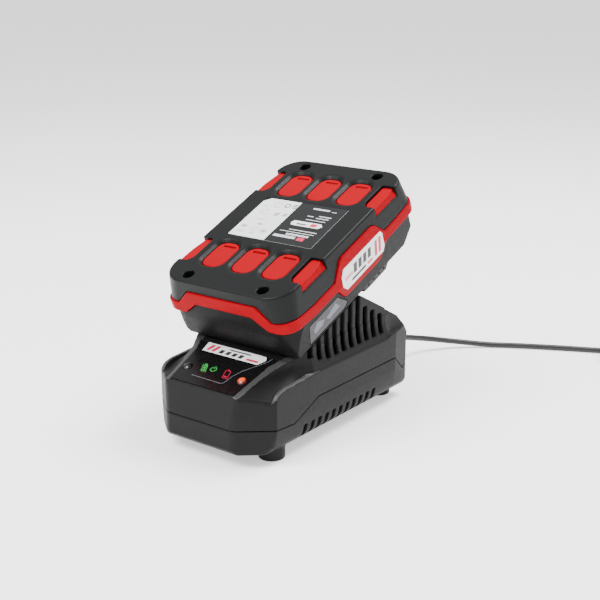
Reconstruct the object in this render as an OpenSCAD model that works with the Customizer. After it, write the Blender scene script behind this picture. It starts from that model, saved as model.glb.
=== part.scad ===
// Desktop battery charger for a slide-on power tool battery, with the battery docked.
// Origin: on the table, under the middle of the charger. +X right, +Y to the rear, +Z up.
// The front, with the control panel, faces -Y.

/* [Charger housing] */
// Width of the charger over its side walls
body_w = 78.6; // [78:0.1:80]
// Length of the charger, front to rear
body_l = 140; // [139:0.5:141]
// Wall thickness of both housings
wall = 2.4; // [2.0:0.1:2.6]
// Height of the floor of the housing above the table
floor_z = 8; // [7.5:0.1:8.5]
// Shadow gap between the two housings
seam_gap = 0.35; // [0.1:0.05:0.5]
// Radius of the moulded feet
foot_r = 7; // [6.5:0.1:7.2]
// Distance of the front feet and of all housing screws from the centre line
foot_x = 28.4; // [28:0.1:28.8]
// Distance of the front feet and of all housing screws from the middle, fore and aft
foot_y = 46.4; // [46:0.1:46.8]
// Distance of the rear feet from the centre line
rear_foot_x = 22; // [21:0.1:22.4]
// Distance of the rear feet from the middle
rear_foot_y = 61.6; // [61:0.1:62]

/* [Vents] */
// Width of a slot in the upper housing
vent_w = 3.9; // [3:0.1:4]
// Spacing of the slots in the upper housing
vent_pitch = 7.15; // [7:0.05:7.2]
// Number of slots on each side of the upper housing
vent_n = 10; // [8:1:10]
// Width of a slot in the lower housing
low_vent_w = 2.6; // [2:0.1:3]
// Spacing of the slots in the lower housing
low_vent_pitch = 6.3; // [6:0.1:6.4]
// Number of slots on each side of the lower housing
low_vent_n = 11; // [9:1:11]

/* [Battery] */
// Tilt of the docked battery
bat_tilt = 22.4; // [22:0.1:22.8]
// Width of the battery over its shells; the red band stands proud of them
bat_w = 83; // [82.6:0.1:83]
// Depth of the battery body without its rails
bat_h = 40; // [39.8:0.1:40]
// Corner radius of the battery
bat_r = 13; // [12:0.5:14]
// Wall thickness of the battery shells
bat_wall = 2.2; // [2.0:0.1:2.3]
// Diameter of one cell
cell_d = 18.3; // [18:0.1:18.4]
// Length of one cell
cell_l = 65; // [64:0.5:65]
// Spacing of the cells
cell_pitch = 19.2; // [18.8:0.1:19.2]

/* [Rails] */
// Half width of the neck of the battery's rails
neck_x = 19; // [18.8:0.1:19]
// Half width of the flange of the battery's rails
rail_x = 24; // [23.8:0.1:24]
// Clearance between the rails and the charger's channel
rail_gap = 0.4; // [0.3:0.05:0.5]

/* [Release button] */
// Travel of the release button
release_travel = 3.5; // [3:0.1:3.5]
// Half width of the release button
release_x = 28.6; // [28:0.1:28.8]

/* [Mains lead] */
// Diameter of the lead
cord_d = 3.6; // [3.4:0.1:3.6]
// Height of the lead's exit above the table
exit_z = 20; // [19.8:0.1:20.2]
// Radius of the plug's pins
pin_r = 2; // [1.95:0.05:2]

/* [Hidden] */
$fn = 48;

hw = body_w / 2;
hl = body_l / 2;
dark = [0.26, 0.26, 0.27];
red = [0.85, 0.1, 0.12];

// place of the battery's own frame: x across, y along the rails to the rear and up, z out of
// the label face, which lies at z = 0
bat_y = 2.3;
bat_z = 109.2;
module bat() { translate([0, bat_y, bat_z]) rotate([bat_tilt, 0, 0]) children(); }

// place of the control panel's frame: y up the slope from the front edge, z out of the panel
pan_y = -68.1;
pan_z = 38;
pan_tilt = 20.35;
module pan() { translate([0, pan_y, pan_z]) rotate([pan_tilt, 0, 0]) children(); }

// outline moved inwards by d, corners kept sharp; points run anticlockwise
function unit(v) = v / norm(v);
function nrm(a, b) = let (e = unit(b - a)) [-e[1], e[0]];
function inset(p, d) = [for (i = [0:len(p) - 1]) let (
    n = len(p), a = p[(i + n - 1) % n], b = p[i], c = p[(i + 1) % n],
    n1 = nrm(a, b), n2 = nrm(b, c), k = 1 + n1 * n2)
    b + (n1 + n2) * (d / k)];

// solid from an outline in Y and Z, or in X and Z, centred on the other axis
module yz(p, w = 200) { rotate([90, 0, 90]) linear_extrude(w, center = true) polygon(p); }
module xz(p, l = 300) { rotate([90, 0, 0]) linear_extrude(l, center = true) polygon(p); }
// rounded rectangle, exact arcs
module rr(w, y0, y1, r) {
    translate([0, (y0 + y1) / 2]) {
        square([w - 2 * r, y1 - y0], center = true);
        square([w, y1 - y0 - 2 * r], center = true);
        for (sx = [-1, 1], sy = [-1, 1])
            translate([sx * (w / 2 - r), sy * ((y1 - y0) / 2 - r)]) circle(r, $fn = 64);
    }
}

// smooth curve through points, and a round tube swept along it
function cr(p, i, t) = let (n = len(p), a = p[max(i - 1, 0)], b = p[i], c = p[i + 1],
    d = p[min(i + 2, n - 1)])
    0.5 * (2 * b + (c - a) * t + (2 * a - 5 * b + 4 * c - d) * t * t
        + (3 * b - a - 3 * c + d) * t * t * t);
function curve(p, k) = concat([for (i = [0:len(p) - 2], j = [0:k - 1]) cr(p, i, j / k)],
    [p[len(p) - 1]]);
function tangent(p, i) = unit(p[min(i + 1, len(p) - 1)] - p[max(i - 1, 0)]);
module tube(p, r, sides = 8) {
    n = len(p);
    pts = [for (i = [0:n - 1]) let (t = tangent(p, i),
        s = abs(t[2]) > 0.9 ? unit(cross(t, [1, 0, 0])) : unit(cross(t, [0, 0, 1])),
        u = cross(s, t))
        for (j = [0:sides - 1]) p[i] + r * (cos(360 * j / sides) * s + sin(360 * j / sides) * u)];
    polyhedron(pts, concat(
        [[for (j = [sides - 1:-1:0]) j]],
        [for (i = [0:n - 2], j = [0:sides - 1])
            [i * sides + j, i * sides + (j + 1) % sides, (i + 1) * sides + j]],
        [for (i = [0:n - 2], j = [0:sides - 1]) [(i + 1) * sides + j,
            i * sides + (j + 1) % sides, (i + 1) * sides + (j + 1) % sides]],
        [[for (j = [0:sides - 1]) (n - 1) * sides + j]]), convexity = 10);
}

// ---------------------------------------------------------------- charger outline
plan_pts = [[-22, -hl], [22, -hl], [hw, -55.5], [hw, 53], [36, hl], [-36, hl], [-hw, 53],
    [-hw, -55.5]];
// lower body and shoulders, seen from the side
skirt_pts = [[-67, floor_z], [67, floor_z], [hl, floor_z + 3], [hl, 38.5], [66, 43.2],
    [50, 43.2], [46, 41.4], [-47, 41.4], [-54.4, 39.3], [-58, 36.3], [-68.3, 36.3],
    [-hl, 20], [-hl, floor_z + 2]];
// lower body, seen from the front: it leans in below the waist
waist_pts = [[-35, floor_z], [35, floor_z], [37.4, floor_z + 2.2], [hw, 16.8], [hw, 60],
    [-hw, 60], [-hw, 16.8], [-37.4, floor_z + 2.2]];
// wedge that carries the battery, seen from the side and from above
wedge_pts = [[-hl, 20], [hl, 20], [hl, 38.5], [65.8, 43.5], [58.9, 50.7], [46.2, 57.7],
    [45.7, 58.5], [20, 72.2], [-36, 49.1], [-36, 49.9], [pan_y, pan_z]];
wedge_plan = [[-24.6, -72], [24.6, -72], [27.6, -51], [30, -42], [33.9, -33.7], [36, -27],
    [36, 64], [34, 72], [-34, 72], [-36, 64], [-36, -27], [-33.9, -33.7], [-30, -42],
    [-27.6, -51]];
// foot of the wedge, curved out to the side walls
flare_pts = [[-hw, 30], [hw, 30], [hw, 39], [38.6, 42.6], [37.4, 46.4], [36.4, 50.4], [36, 54],
    [-36, 54], [-36.4, 50.4], [-37.4, 46.4], [-38.6, 42.6], [-hw, 39]];
flare_side = [[-24, 30], [hl, 30], [hl, 38.5], [65.8, 43.5], [58.9, 50.7], [55.7, 54], [-24, 54]];

module form(d = 0) {
    intersection() {
        linear_extrude(90) polygon(inset(plan_pts, d));
        union() {
            intersection() { yz(inset(skirt_pts, d)); xz(inset(waist_pts, d)); }
            intersection() {
                yz(inset(wedge_pts, d));
                linear_extrude(90) polygon(inset(wedge_plan, d));
            }
            intersection() { yz(inset(flare_side, d)); xz(inset(flare_pts, d)); }
        }
    }
}
// line where the housings part, as heights along Y
function seam(dz) = [[-90, 20 + dz], [-55.5, 20 + dz], [-41, 19 + dz], [-21, 27.6 + dz],
    [52.5, 27.6 + dz], [64, 17.8 + dz], [67.5, 20 + dz], [90, 20 + dz]];
module below(dz) { yz(concat([[90, -10], [90, 20 + dz]],
    [for (i = [6:-1:0]) seam(dz)[i]], [[-90, -10]])); }

// channel that takes the battery's rails: a T slot, open to the rear
ch_end = -46.3;
module channel() bat() {
    translate([-rail_x - rail_gap, ch_end, -57 - rail_gap])
        cube([2 * (rail_x + rail_gap), 100, 12.4 + 2 * rail_gap]);
    translate([-neck_x - rail_gap, ch_end, -50]) cube([2 * (neck_x + rail_gap), 100, 20]);
}

module lower_housing() color(dark) {
    difference() {
        union() {
            difference() {
                intersection() { form(); below(-seam_gap / 2); }
                form(wall);
            }
            // lip that stands up inside the upper housing
            intersection() {
                difference() { form(wall - 0.1); form(wall + 1.3); }
                below(-seam_gap / 2);
                difference() { below(0); below(-3); }
                translate([-hw, -hl - 1, 0]) cube([2 * hw, 2 * hl - 3, 60]);
            }
            intersection() {
                difference() { form(wall + 0.15); form(wall + 1.3); }
                difference() { below(2.4); below(-3); }
                translate([-hw, -hl - 1, 0]) cube([2 * hw, 2 * hl - 3, 60]);
            }
            for (sx = [-1, 1], sy = [-1, 1]) {
                translate([sx * (sy < 0 ? foot_x : rear_foot_x), sy < 0 ? -foot_y : rear_foot_y, 0])
                    cylinder(h = floor_z + 1, r = foot_r);
                translate([sx * foot_x, sy * foot_y, floor_z])
                    cylinder(h = sy < 0 ? 9.5 : 17.5, r = 4.8);
            }
            for (sx = [-1, 1], sy = [-1, 1]) translate([sx * 30, sy * 35, floor_z + 1])
                cylinder(h = 5, r = 3);
            // cradle of the lead and pads of its clamp
            intersection() {
                translate([-14, 54, floor_z + 1]) cube([28, 10, 8.9]);
                form(wall - 1);
            }
        }
        for (sx = [-1, 1], sy = [-1, 1]) translate([sx * foot_x, sy * foot_y, -1]) {
            cylinder(h = 15, r = 3.3);
            cylinder(h = 40, r = 1.7);
        }
        for (sx = [-1, 1], sy = [-1, 1]) translate([sx * 30, sy * 35, floor_z + 2.6])
            cylinder(h = 6, r = 1.15);
        for (sx = [-1, 1], i = [0:low_vent_n - 1])
            translate([sx * 38, -30.6 + i * low_vent_pitch, 12.2])
                cube([8, low_vent_w, 6], center = true);
        // lead: through the rear wall and over the cradle
        translate([0, 80, exit_z]) rotate([90, 0, 0]) cylinder(h = 16, r = 3.9);
        translate([0, 80, exit_z]) rotate([90, 0, 0]) cylinder(h = 40, r = cord_d / 2 + 0.05);
        for (sx = [-1, 1]) translate([sx * 9.5, 59, 12]) cylinder(h = 10, r = 1.15);
    }
}

module upper_housing() color(dark) {
    difference() {
        union() {
            difference() { form(); form(wall); below(seam_gap / 2); }
            // walls of the rail channel
            intersection() {
                form(0.2);
                bat() translate([-rail_x - rail_gap - 2.2, ch_end - 2.2, -57 - rail_gap - 2.2])
                    cube([2 * (rail_x + rail_gap + 2.2), 80, 17]);
            }
            // pegs that carry the indicator board
            pan() for (sx = [-1, 1]) translate([sx * 9, 12, -10.6]) {
                cylinder(h = 9.6, r = 1);
                translate([0, 0, 1.7]) cylinder(h = 7.5, r = 2.3);
            }
            // posts for the housing screws
            intersection() {
                form(1);
                for (sx = [-1, 1], sy = [-1, 1]) translate([sx * foot_x, sy * foot_y,
                    sy < 0 ? 20 : 27.9]) cylinder(h = 50, r = 4.4);
            }
        }
        channel();
        for (sx = [-1, 1], sy = [-1, 1]) translate([sx * foot_x, sy * foot_y,
            sy < 0 ? 15 : 20]) cylinder(h = sy < 0 ? 16 : 24, r = 1.55);
        // side vents: the front seven run out over the edge of the wedge
        for (sx = [-1, 1], i = [0:vent_n - 1]) let (y = -24 + i * vent_pitch,
            low = i == 0 ? 48.4 : i == 1 ? 45.8 : 44.6,
            top = i < 7 ? 90 : 72.2 - (y + vent_w / 2 - 20) * 0.533 - 3.8)
            translate([sx > 0 ? 33.4 : -43.4, y - vent_w / 2, low])
                cube([10, vent_w, top - low]);
        // recess of the control panel, and its indicator holes
        pan() translate([0, 0, -0.6]) linear_extrude(5) panel_shape(0.12);
        pan() for (sx = [-1, 1]) translate([sx * 18.2, 11.8, -6]) cylinder(h = 12, r = 2.75);
        // window for the terminal block
        bat() translate([-17.4, ch_end - 5, -56.2]) cube([34.8, 6, 10.4]);
        // half of the lead's hole
        translate([0, 80, exit_z]) rotate([90, 0, 0]) cylinder(h = 16, r = 3.9);
    }
}

module panel_shape(g = 0) {
    polygon([[-21 - g, 0.8 - g], [21 + g, 0.8 - g], [23.8 + g, 26], [26.4 + g, 32.6 + g],
        [-26.4 - g, 32.6 + g], [-23.8 - g, 26]]);
}
module control_panel() color([0.05, 0.05, 0.06]) pan() difference() {
    translate([0, 0, -0.55]) linear_extrude(0.6) panel_shape(0);
    for (sx = [-1, 1]) translate([sx * 18.2, 11.8, -2]) cylinder(h = 4, r = 2.7);
}
module lens() rotate_extrude() polygon([[0, -3.7], [3.3, -3.7], [3.3, -2.6], [2.55, -2.6], [2.55, 0.1],
    [2.3, 0.65], [1.5, 1.05], [0, 1.2]]);
module green_led_lens() color([0.1, 0.25, 0.12]) pan() translate([-18.2, 11.8, 0]) lens();
module red_led_lens() color([0.95, 0.3, 0.1]) pan() translate([18.2, 11.8, 0]) lens();
module led_board() color([0.1, 0.4, 0.2]) pan() difference() {
    translate([-23, 7, -10.2]) cube([46, 10, 1.2]);
    for (sx = [-1, 1]) translate([sx * 9, 12, -12]) cylinder(h = 4, r = 1.1);
}
module status_leds() color([0.9, 0.9, 0.85]) pan() for (sx = [-1, 1])
    translate([sx * 18.2, 11.8, -9]) { cylinder(h = 3, r = 1.5); translate([0, 0, 3]) sphere(r = 1.5); }

module pan_screw(r, l, hr, hh) { cylinder(h = l, r = r); translate([0, 0, -hh]) difference() {
    cylinder(h = hh, r = hr);
    translate([0, 0, -0.1]) { cube([2.4, 0.6, 2.0], center = true); cube([0.6, 2.4, 2.0], center = true); }
} }
module housing_screws() color("silver") for (sx = [-1, 1], sy = [-1, 1])
    translate([sx * foot_x, sy * foot_y, 14]) pan_screw(1.5, sy < 0 ? 15 : 20, 2.9, 2);

module main_board() color([0.1, 0.4, 0.2]) difference() {
    translate([-34, -40, 14.1]) cube([68, 80, 1.6]);
    for (sx = [-1, 1], sy = [-1, 1]) translate([sx * 30, sy * 35, 10]) cylinder(h = 10, r = 1.4);
}
module board_screws() color("silver") for (sx = [-1, 1], sy = [-1, 1])
    translate([sx * 30, sy * 35, 15.7]) mirror([0, 0, 1]) pan_screw(1.1, 4.6, 2.2, 1.5);

pcb = 15.75;
module transformer_core() color([0.2, 0.2, 0.22]) translate([-6, 20, pcb + 3]) {
    difference() {
        translate([-15, -6, 0]) cube([30, 12, 24]);
        for (sx = [-1, 1]) translate([sx * 7.8 - 3.6, -7, 4]) cube([7.2, 14, 16]);
    }
}
module transformer_winding() color([0.9, 0.75, 0.15]) translate([-6, 20, pcb]) {
    difference() {
        union() {
            translate([-11, -13, 7.6]) cube([22, 26, 14.8]);
            translate([-14, -13, 0]) cube([28, 5.9, 2.8]);
            translate([-14, 7.1, 0]) cube([28, 5.9, 2.8]);
            translate([-11, -13, 2]) cube([22, 5.9, 7]);
            translate([-11, 7.1, 2]) cube([22, 5.9, 7]);
        }
        translate([-4.3, -6.1, 0]) cube([8.6, 12.2, 30]);
        for (sx = [-1, 1]) translate([sx * 13.3 - 2.1, -6.1, 0]) cube([4.2, 12.2, 30]);
        translate([-20, -6.1, 0]) cube([40, 12.2, 7.1]);
    }
}
module can(r, h) { rotate_extrude() polygon([[0, 0], [r, 0], [r, 1.6], [r - 0.5, 2.2], [r, 2.8],
    [r, h - 0.6], [r - 0.6, h], [0, h]]); }
module primary_capacitor() color([0.15, 0.2, 0.3]) translate([23, 22, pcb]) can(8, 22);
module x_capacitor() color([0.85, 0.75, 0.2]) translate([-31, 16.2, pcb]) {
    cube([6.5, 14, 11]);
    for (y = [2, 12]) translate([3, y - 0.4, -0.05]) cube([0.8, 0.8, 1]);
}
module line_choke() color([0.75, 0.4, 0.15]) translate([23, 4, pcb + 7.2]) rotate([90, 0, 0]) {
    rotate_extrude() translate([4.6, 0]) square([5, 6], center = true);
    translate([-5, -7.1, -4]) cube([10, 1.4, 8]);
}
module mains_fuse() color([0.8, 0.8, 0.75]) translate([-27, 6, pcb + 3]) rotate([90, 0, 0]) {
    cylinder(h = 18, r = 2.6, center = true);
    for (s = [-1, 1]) translate([-3, -3, s * 7.5 - 1]) cube([6, 2, 2]);
}
module heatsink() color([0.75, 0.76, 0.78]) translate([0, -6, pcb]) {
    translate([-14, -1, 0]) cube([28, 2, 15]);
    for (i = [0:6]) translate([-14 + i * 4.4, 0.5, 2]) cube([1.4, 5, 13]);
}
module to220() { translate([-5, 0, 3.2]) cube([10, 4.4, 9]); translate([-5, 3.3, 11]) cube([10, 1.1, 3]);
    for (i = [-1:1]) translate([i * 2.5 - 0.4, 1.6, 0]) cube([0.8, 0.6, 3.6]); }
module switching_transistor() color([0.12, 0.12, 0.12]) translate([-7, -11.5, pcb]) to220();
module output_rectifier() color([0.12, 0.12, 0.12]) translate([7, -11.5, pcb]) to220();
module output_capacitors() color([0.1, 0.12, 0.2]) for (x = [-24, -12, 12])
    translate([x, -31, pcb]) can(5, 16);

module terminal_block() color([0.1, 0.1, 0.1]) bat() difference() {
    union() {
        translate([-17.2, ch_end - 4.6, -56]) cube([34.4, 4.5, 10]);
        translate([-19, ch_end - 5.8, -56]) cube([38, 3.4, 10]);
    }
    for (i = [-2:2]) translate([i * 6 - 0.4, ch_end - 10, -54.2]) cube([0.8, 20, 7.4]);
}
module terminal_blades() color([0.85, 0.7, 0.35]) bat() for (i = [-2:2])
    translate([i * 6 - 0.4, ch_end - 8.5, -54.2]) cube([0.8, 20.5, 7.4]);

// insulated wires inside the housings
module wires(ps, r) for (p = ps) tube(curve(p, 3), r);
module mains_leads() color([0.15, 0.3, 0.6]) wires([
    [[-0.93, 55.4, 20], [-0.93, 54.2, 20], [-5, 49, 20], [-16, 43, 20], [-20, 38, 19.2],
        [-20.2, 37, 17.6], [-20.2, 37, 15.75]],
    [[0.93, 55.4, 20], [0.93, 54.2, 20], [6, 49, 20], [14, 42, 20], [15, 36, 19.2],
        [15.2, 35, 17.6], [15.2, 35, 15.75]]], 0.85);
module output_leads() color([0.75, 0.1, 0.1]) wires([
    [[-5, -37.5, 15.8], [-4.5, -37.5, 24], [-5, -36, 34], [-6, -33, 40.2], [-6, -29.6, 41.4]],
    [[3, -37.5, 15.8], [3.5, -37.5, 24], [5, -36, 34], [6, -33, 40.2], [6, -29.6, 41.4]]], 0.8);

module cord_clamp() color([0.15, 0.15, 0.15]) difference() {
    translate([-13.5, 55, 18.2]) cube([27, 8, 5]);
    translate([0, 80, exit_z]) rotate([90, 0, 0]) cylinder(h = 40, r = cord_d / 2 + 0.05);
    for (sx = [-1, 1]) translate([sx * 9.5, 59, 10]) cylinder(h = 20, r = 1.4);
}
module clamp_screws() color("silver") for (sx = [-1, 1])
    translate([sx * 9.5, 59, 23.2]) mirror([0, 0, 1]) pan_screw(1.1, 9, 2.3, 1.5);

// ---------------------------------------------------------------- mains lead
relief_end = 94;
module cord_strain_relief() color([0.08, 0.08, 0.08]) translate([0, hl, exit_z]) rotate([-90, 0, 0])
    difference() {
        union() {
            translate([0, 0, -2.5]) cylinder(h = 2.7, r = 3.85);
            translate([0, 0, -4.5]) cylinder(h = 2, r = 5.2);
            rotate_extrude() polygon([[0, 0.1], [5, 0.1], [5, 1.6], [4.2, 2.2],
                [2.5, relief_end - hl], [0, relief_end - hl]]);
        }
        // grooves that let the relief bend
        for (i = [0:3]) translate([0, 0, 5 + i * 4.4]) rotate_extrude()
            translate([3.0 - i * 0.15, 0]) square([3, 1.3]);
        translate([0, 0, -10]) cylinder(h = relief_end - hl + 8, r = cord_d / 2);
    }
// the lead: from its clamp through the relief, down to the table and out to the coil
route = [[0, 56, 20], [0, 75, 20], [0, 94, 19.8], [0.5, 106, 18], [3.5, 121, 14], [9, 143, 8], [22, 160, 4], [37, 172, 2],
    [54, 182.5, 1.8], [76, 194, 1.8], [99, 205, 1.8], [118, 213.5, 1.8], [138.5, 221.2, 1.8]];
// its end: off the top of the coil and round into the plug, which lies on the coil
tail = [[109.8, 262.3, 12.6], [106.2, 257.6, 14], [103.9, 251, 15.8], [103.6, 243, 17.4],
    [103.8, 235, 18.8], [104, 227, 19.9], [104, 218, 20.6], [104, 209, 21.1],
    [106.1, 201.25, 21.5], [111.75, 195.6, 21.8], [119.5, 193.5, 22], [127.25, 195.6, 22.1],
    [132.9, 201.25, 22.2], [135, 209, 22.2]];
coil_c = [126, 243];
coil_r0 = 12.6;
coil_r1 = 27;
coil_h = 14.4;
module power_cord() color([0.05, 0.05, 0.05]) {
    tube(curve(route, 3), cord_d / 2);
    tube(curve(tail, 3), cord_d / 2);
}
module cord_coil() color([0.05, 0.05, 0.05]) translate(coil_c) rotate_extrude()
    translate([coil_r0, 0]) square([coil_r1 - coil_r0, coil_h]);
module cord_tie() color([0.15, 0.15, 0.15]) translate(coil_c) rotate([0, 0, 120]) difference() {
    translate([coil_r0 - 0.8, -3, 0]) cube([coil_r1 - coil_r0 + 1.6, 6, coil_h + 0.7]);
    translate([coil_r0 - 0.1, -4, 0.6]) cube([coil_r1 - coil_r0 + 0.2, 8, coil_h - 0.5]);
}
module plug() translate([135, 209, 22.2]) rotate([0, 0, 90]) children();
module plug_body() color([0.06, 0.06, 0.06]) plug() difference() {
    union() {
        rotate([0, 90, 0]) cylinder(h = 23, r1 = 2.6, r2 = 4.6);
        intersection() {
            translate([22, 0, -6.85]) linear_extrude(13.7)
                polygon([[0, -6], [4, -9.5], [18, -17.6], [33, -17.6], [36, -15], [36, 15],
                    [33, 17.6], [18, 17.6], [4, 9.5], [0, 6]]);
            rotate([90, 0, 0]) linear_extrude(60, center = true)
                polygon([[20, -5], [26, -6.85], [56, -6.85], [58, -6], [58, 6], [56, 6.85],
                    [26, 6.85], [20, 5]]);
        }
    }
    for (s = [-1, 1]) translate([40, s * 9.3, 0]) rotate([0, 90, 0]) cylinder(h = 30, r = pin_r);
    translate([-1, 0, 0]) rotate([0, 90, 0]) cylinder(h = 20, r = cord_d / 2);
}
module plug_pins() color([0.85, 0.85, 0.8]) plug() for (s = [-1, 1])
    translate([40, s * 9.3, 0]) rotate([0, 90, 0]) {
        cylinder(h = 35.5, r = pin_r);
        translate([0, 0, 35.5]) cylinder(h = 1.5, r1 = pin_r, r2 = 1.2);
    }

// ---------------------------------------------------------------- battery
bw = bat_w / 2;
band_lo = -21.3;
band_hi = -15.4;
band_r = 7.8;
band_proud = 0.7;
b0 = -61.5;
b1 = 62;
// outlines with the sloped edges of the cover and the base, across and along
base_x = 37.2;
across = [[-base_x, -bat_h], [base_x, -bat_h], [bw - 0.2, band_lo], [bw - 0.2, -14], [bw - 1, 0],
    [-bw + 1, 0], [-bw + 0.2, -14], [-bw + 0.2, band_lo]];
along = [[-55, -bat_h], [49, -bat_h], [52, -37], [60.2, -27], [b1 - 0.3, -25.1],
    [b1 - 0.3, -14], [b1 - 0.6, 0], [b0 + 1, 0], [b0 + 0.3, -14], [b0 + 0.3, band_lo - 0.5],
    [-56.2, -39]];
module bform(d = 0, r = bat_r) intersection() {
    xz(inset(across, d));
    yz(inset(along, d));
    translate([0, 0, -60]) linear_extrude(80) rr(bat_w - 2 * d, b0 + d, b1 - d, r - d);
}
// red band: level on the sides, stepped up across the middle of both ends
module band_zone(g = 0) {
    translate([-50, b0 - 5, band_lo - g]) cube([100, b1 - b0 + 10, band_hi - band_lo + 2 * g]);
    for (y = [b0 - 5, b1 - 20]) translate([0, y + 12.5, 0]) rotate([90, 0, 0])
        linear_extrude(25, center = true) polygon([[-31.8 - g, band_hi], [-22.6 - g, -6.4 + g],
            [22.6 + g, -6.4 + g], [31.8 + g, band_hi]]);
    // frames round the side badges
    for (sx = [-1, 1]) translate([sx * 40, 0, 0]) rotate([90, 0, 90])
        linear_extrude(12, center = true) polygon([[-20 - g, -15.5], [-13.2 - g, -8.2 + g],
            [-10.6, -6.9 + g], [18.7, -6.9 + g], [21.6 + g, -8.3 + g], [28.2 + g, -15.5],
            [29.6 + g, -21.2], [27 + g, -24.6 - g], [22.9 + g, -30.2 - g], [20.2, -31.2 - g],
            [-11.2, -31.2 - g], [-13.4 - g, -30.3 - g], [-20.4 - g, -21.2]]);
}
module band_low_zone(g = 0) {
    // below the stepped-up part of the band, the base fills the ends
    for (y = [b0 - 5, b1 - 20]) translate([0, y + 12.5, 0]) rotate([90, 0, 0])
        linear_extrude(25, center = true) polygon([[-28 + g, band_lo - 1], [-28 + g, band_lo],
            [-18.4 + g, -13.3 - g], [18.4 - g, -13.3 - g], [28 - g, band_lo],
            [28 - g, band_lo - 1]]);
}
badge_pts = [[-14.6, -17], [-15, -22.8], [-12.5, -25.7], [23.4, -25.7], [25.4, -23.2],
    [25.6, -15.6], [24.2, -13.5], [-12, -13.5]];
oval_x = [-20, 0, 20];
oval_y = [-32.7, 37];
oval_w = 14.3;
oval_l = 22;
module oval(w, l, h) linear_extrude(h) rr(w, -l / 2, l / 2, 5.6);
// the outer ovals, cut by the sides
module side_pads(g = 0, h = 3.9) for (sx = [-1, 1], y = oval_y)
    translate([sx * 40, y, -5.4 - g]) oval(oval_w - 0.4 + 2 * g, oval_l - 0.4 + 2 * g, h);
module battery_posts(r, z0, z1) for (sx = [-1, 1], y = [-54.2, 54.4])
    translate([sx * 24.6, y, z0]) cylinder(h = z1 - z0, r = r);

module battery_cover() color([0.17, 0.18, 0.18]) bat() difference() {
    union() {
        difference() {
            bform();
            bform(bat_wall);
            translate([-60, -80, -60]) cube([120, 160, 60 + band_hi]);
            band_zone(0.15);
            band_low_zone(-0.2);
            side_pads(0.2, 8);
        }
        battery_posts(4.6, -14, -1);
    }
    for (x = oval_x, y = oval_y) translate([x, y, -4]) oval(oval_w, oval_l, 8);
    battery_posts(3.25, -12, 1);
    battery_posts(1.7, -20, 1);
    translate([-27.6, -16.6, -0.4]) cube([55.7, 37.2, 2]);
}
module battery_mid_frame() color(red) bat() difference() {
    union() {
        difference() {
            intersection() { bform(-band_proud, band_r); band_zone(0); }
            bform(bat_wall + 0.2);
            band_low_zone(0);
        }
        // tray under the cover
        difference() {
            intersection() {
                bform(bat_wall + 0.15);
                translate([-60, -80, -16.2]) cube([120, 160, 13.9]);
            }
            bform(bat_wall + 2);
        }
        difference() {
            intersection() {
                bform(bat_wall + 0.15);
                translate([-60, -80, band_lo]) cube([120, 160, 10]);
                union() {
                    translate([-60, -45, -40]) cube([120, 90, 40]);
                }
            }
            bform(bat_wall + 2);
        }
        // joins the band to the tray
        difference() {
            intersection() {
                bform(bat_wall - 0.1);
                translate([-60, -80, band_hi - 3]) cube([120, 160, 2.9]);
                translate([-60, -45, -40]) cube([120, 90, 40]);
                band_zone(-0.2);
            }
            bform(bat_wall + 2);
        }
        // sunk ovals and corner windows
        for (x = oval_x, y = oval_y) translate([x, y, -3])
            oval(oval_w - 0.4, oval_l - 0.4, 1.5);
        intersection() { bform(0.9); side_pads(0); }
    }
    battery_posts(4.9, -30, 0);
    // recess of the side badges
    for (sx = [-1, 1]) translate([sx * (bw - 0.2 + band_proud), 0, 0]) rotate([90, 0, 90])
        linear_extrude(0.8, center = true) polygon(inset(badge_pts, -0.15));
    // step in each oval
    for (x = oval_x, y = oval_y) translate([x - 3.4, y + 6.6, -2.4]) cube([8, 1.5, 2]);
}

// slanted outline of the sticker on the base's right side, cut from a profile across it
function side_x(n) = base_x + (n + bat_h) * (bw - 0.2 - base_x) / (band_lo + bat_h);
module sticker(d0, d1, n0, n1, g) intersection() {
    xz([[side_x(n0) - d0, n0], [side_x(n1) - d0, n1], [side_x(n1) - d1, n1], [side_x(n0) - d1, n0]]);
    translate([40, 0, 0]) yz(inset([[-45.6, -37.8], [-13.6, -37.8], [-10.6, -35.6], [-19.8, -26.1],
        [-45.6, -26.1]], g), 12);
}
module rail_shape() {
    translate([-neck_x, -46, -45]) cube([2 * neck_x, 48, 8]);
    translate([-rail_x, -46, -57]) cube([2 * rail_x, 48, 12.4]);
}
rel_y0 = 12;
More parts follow.
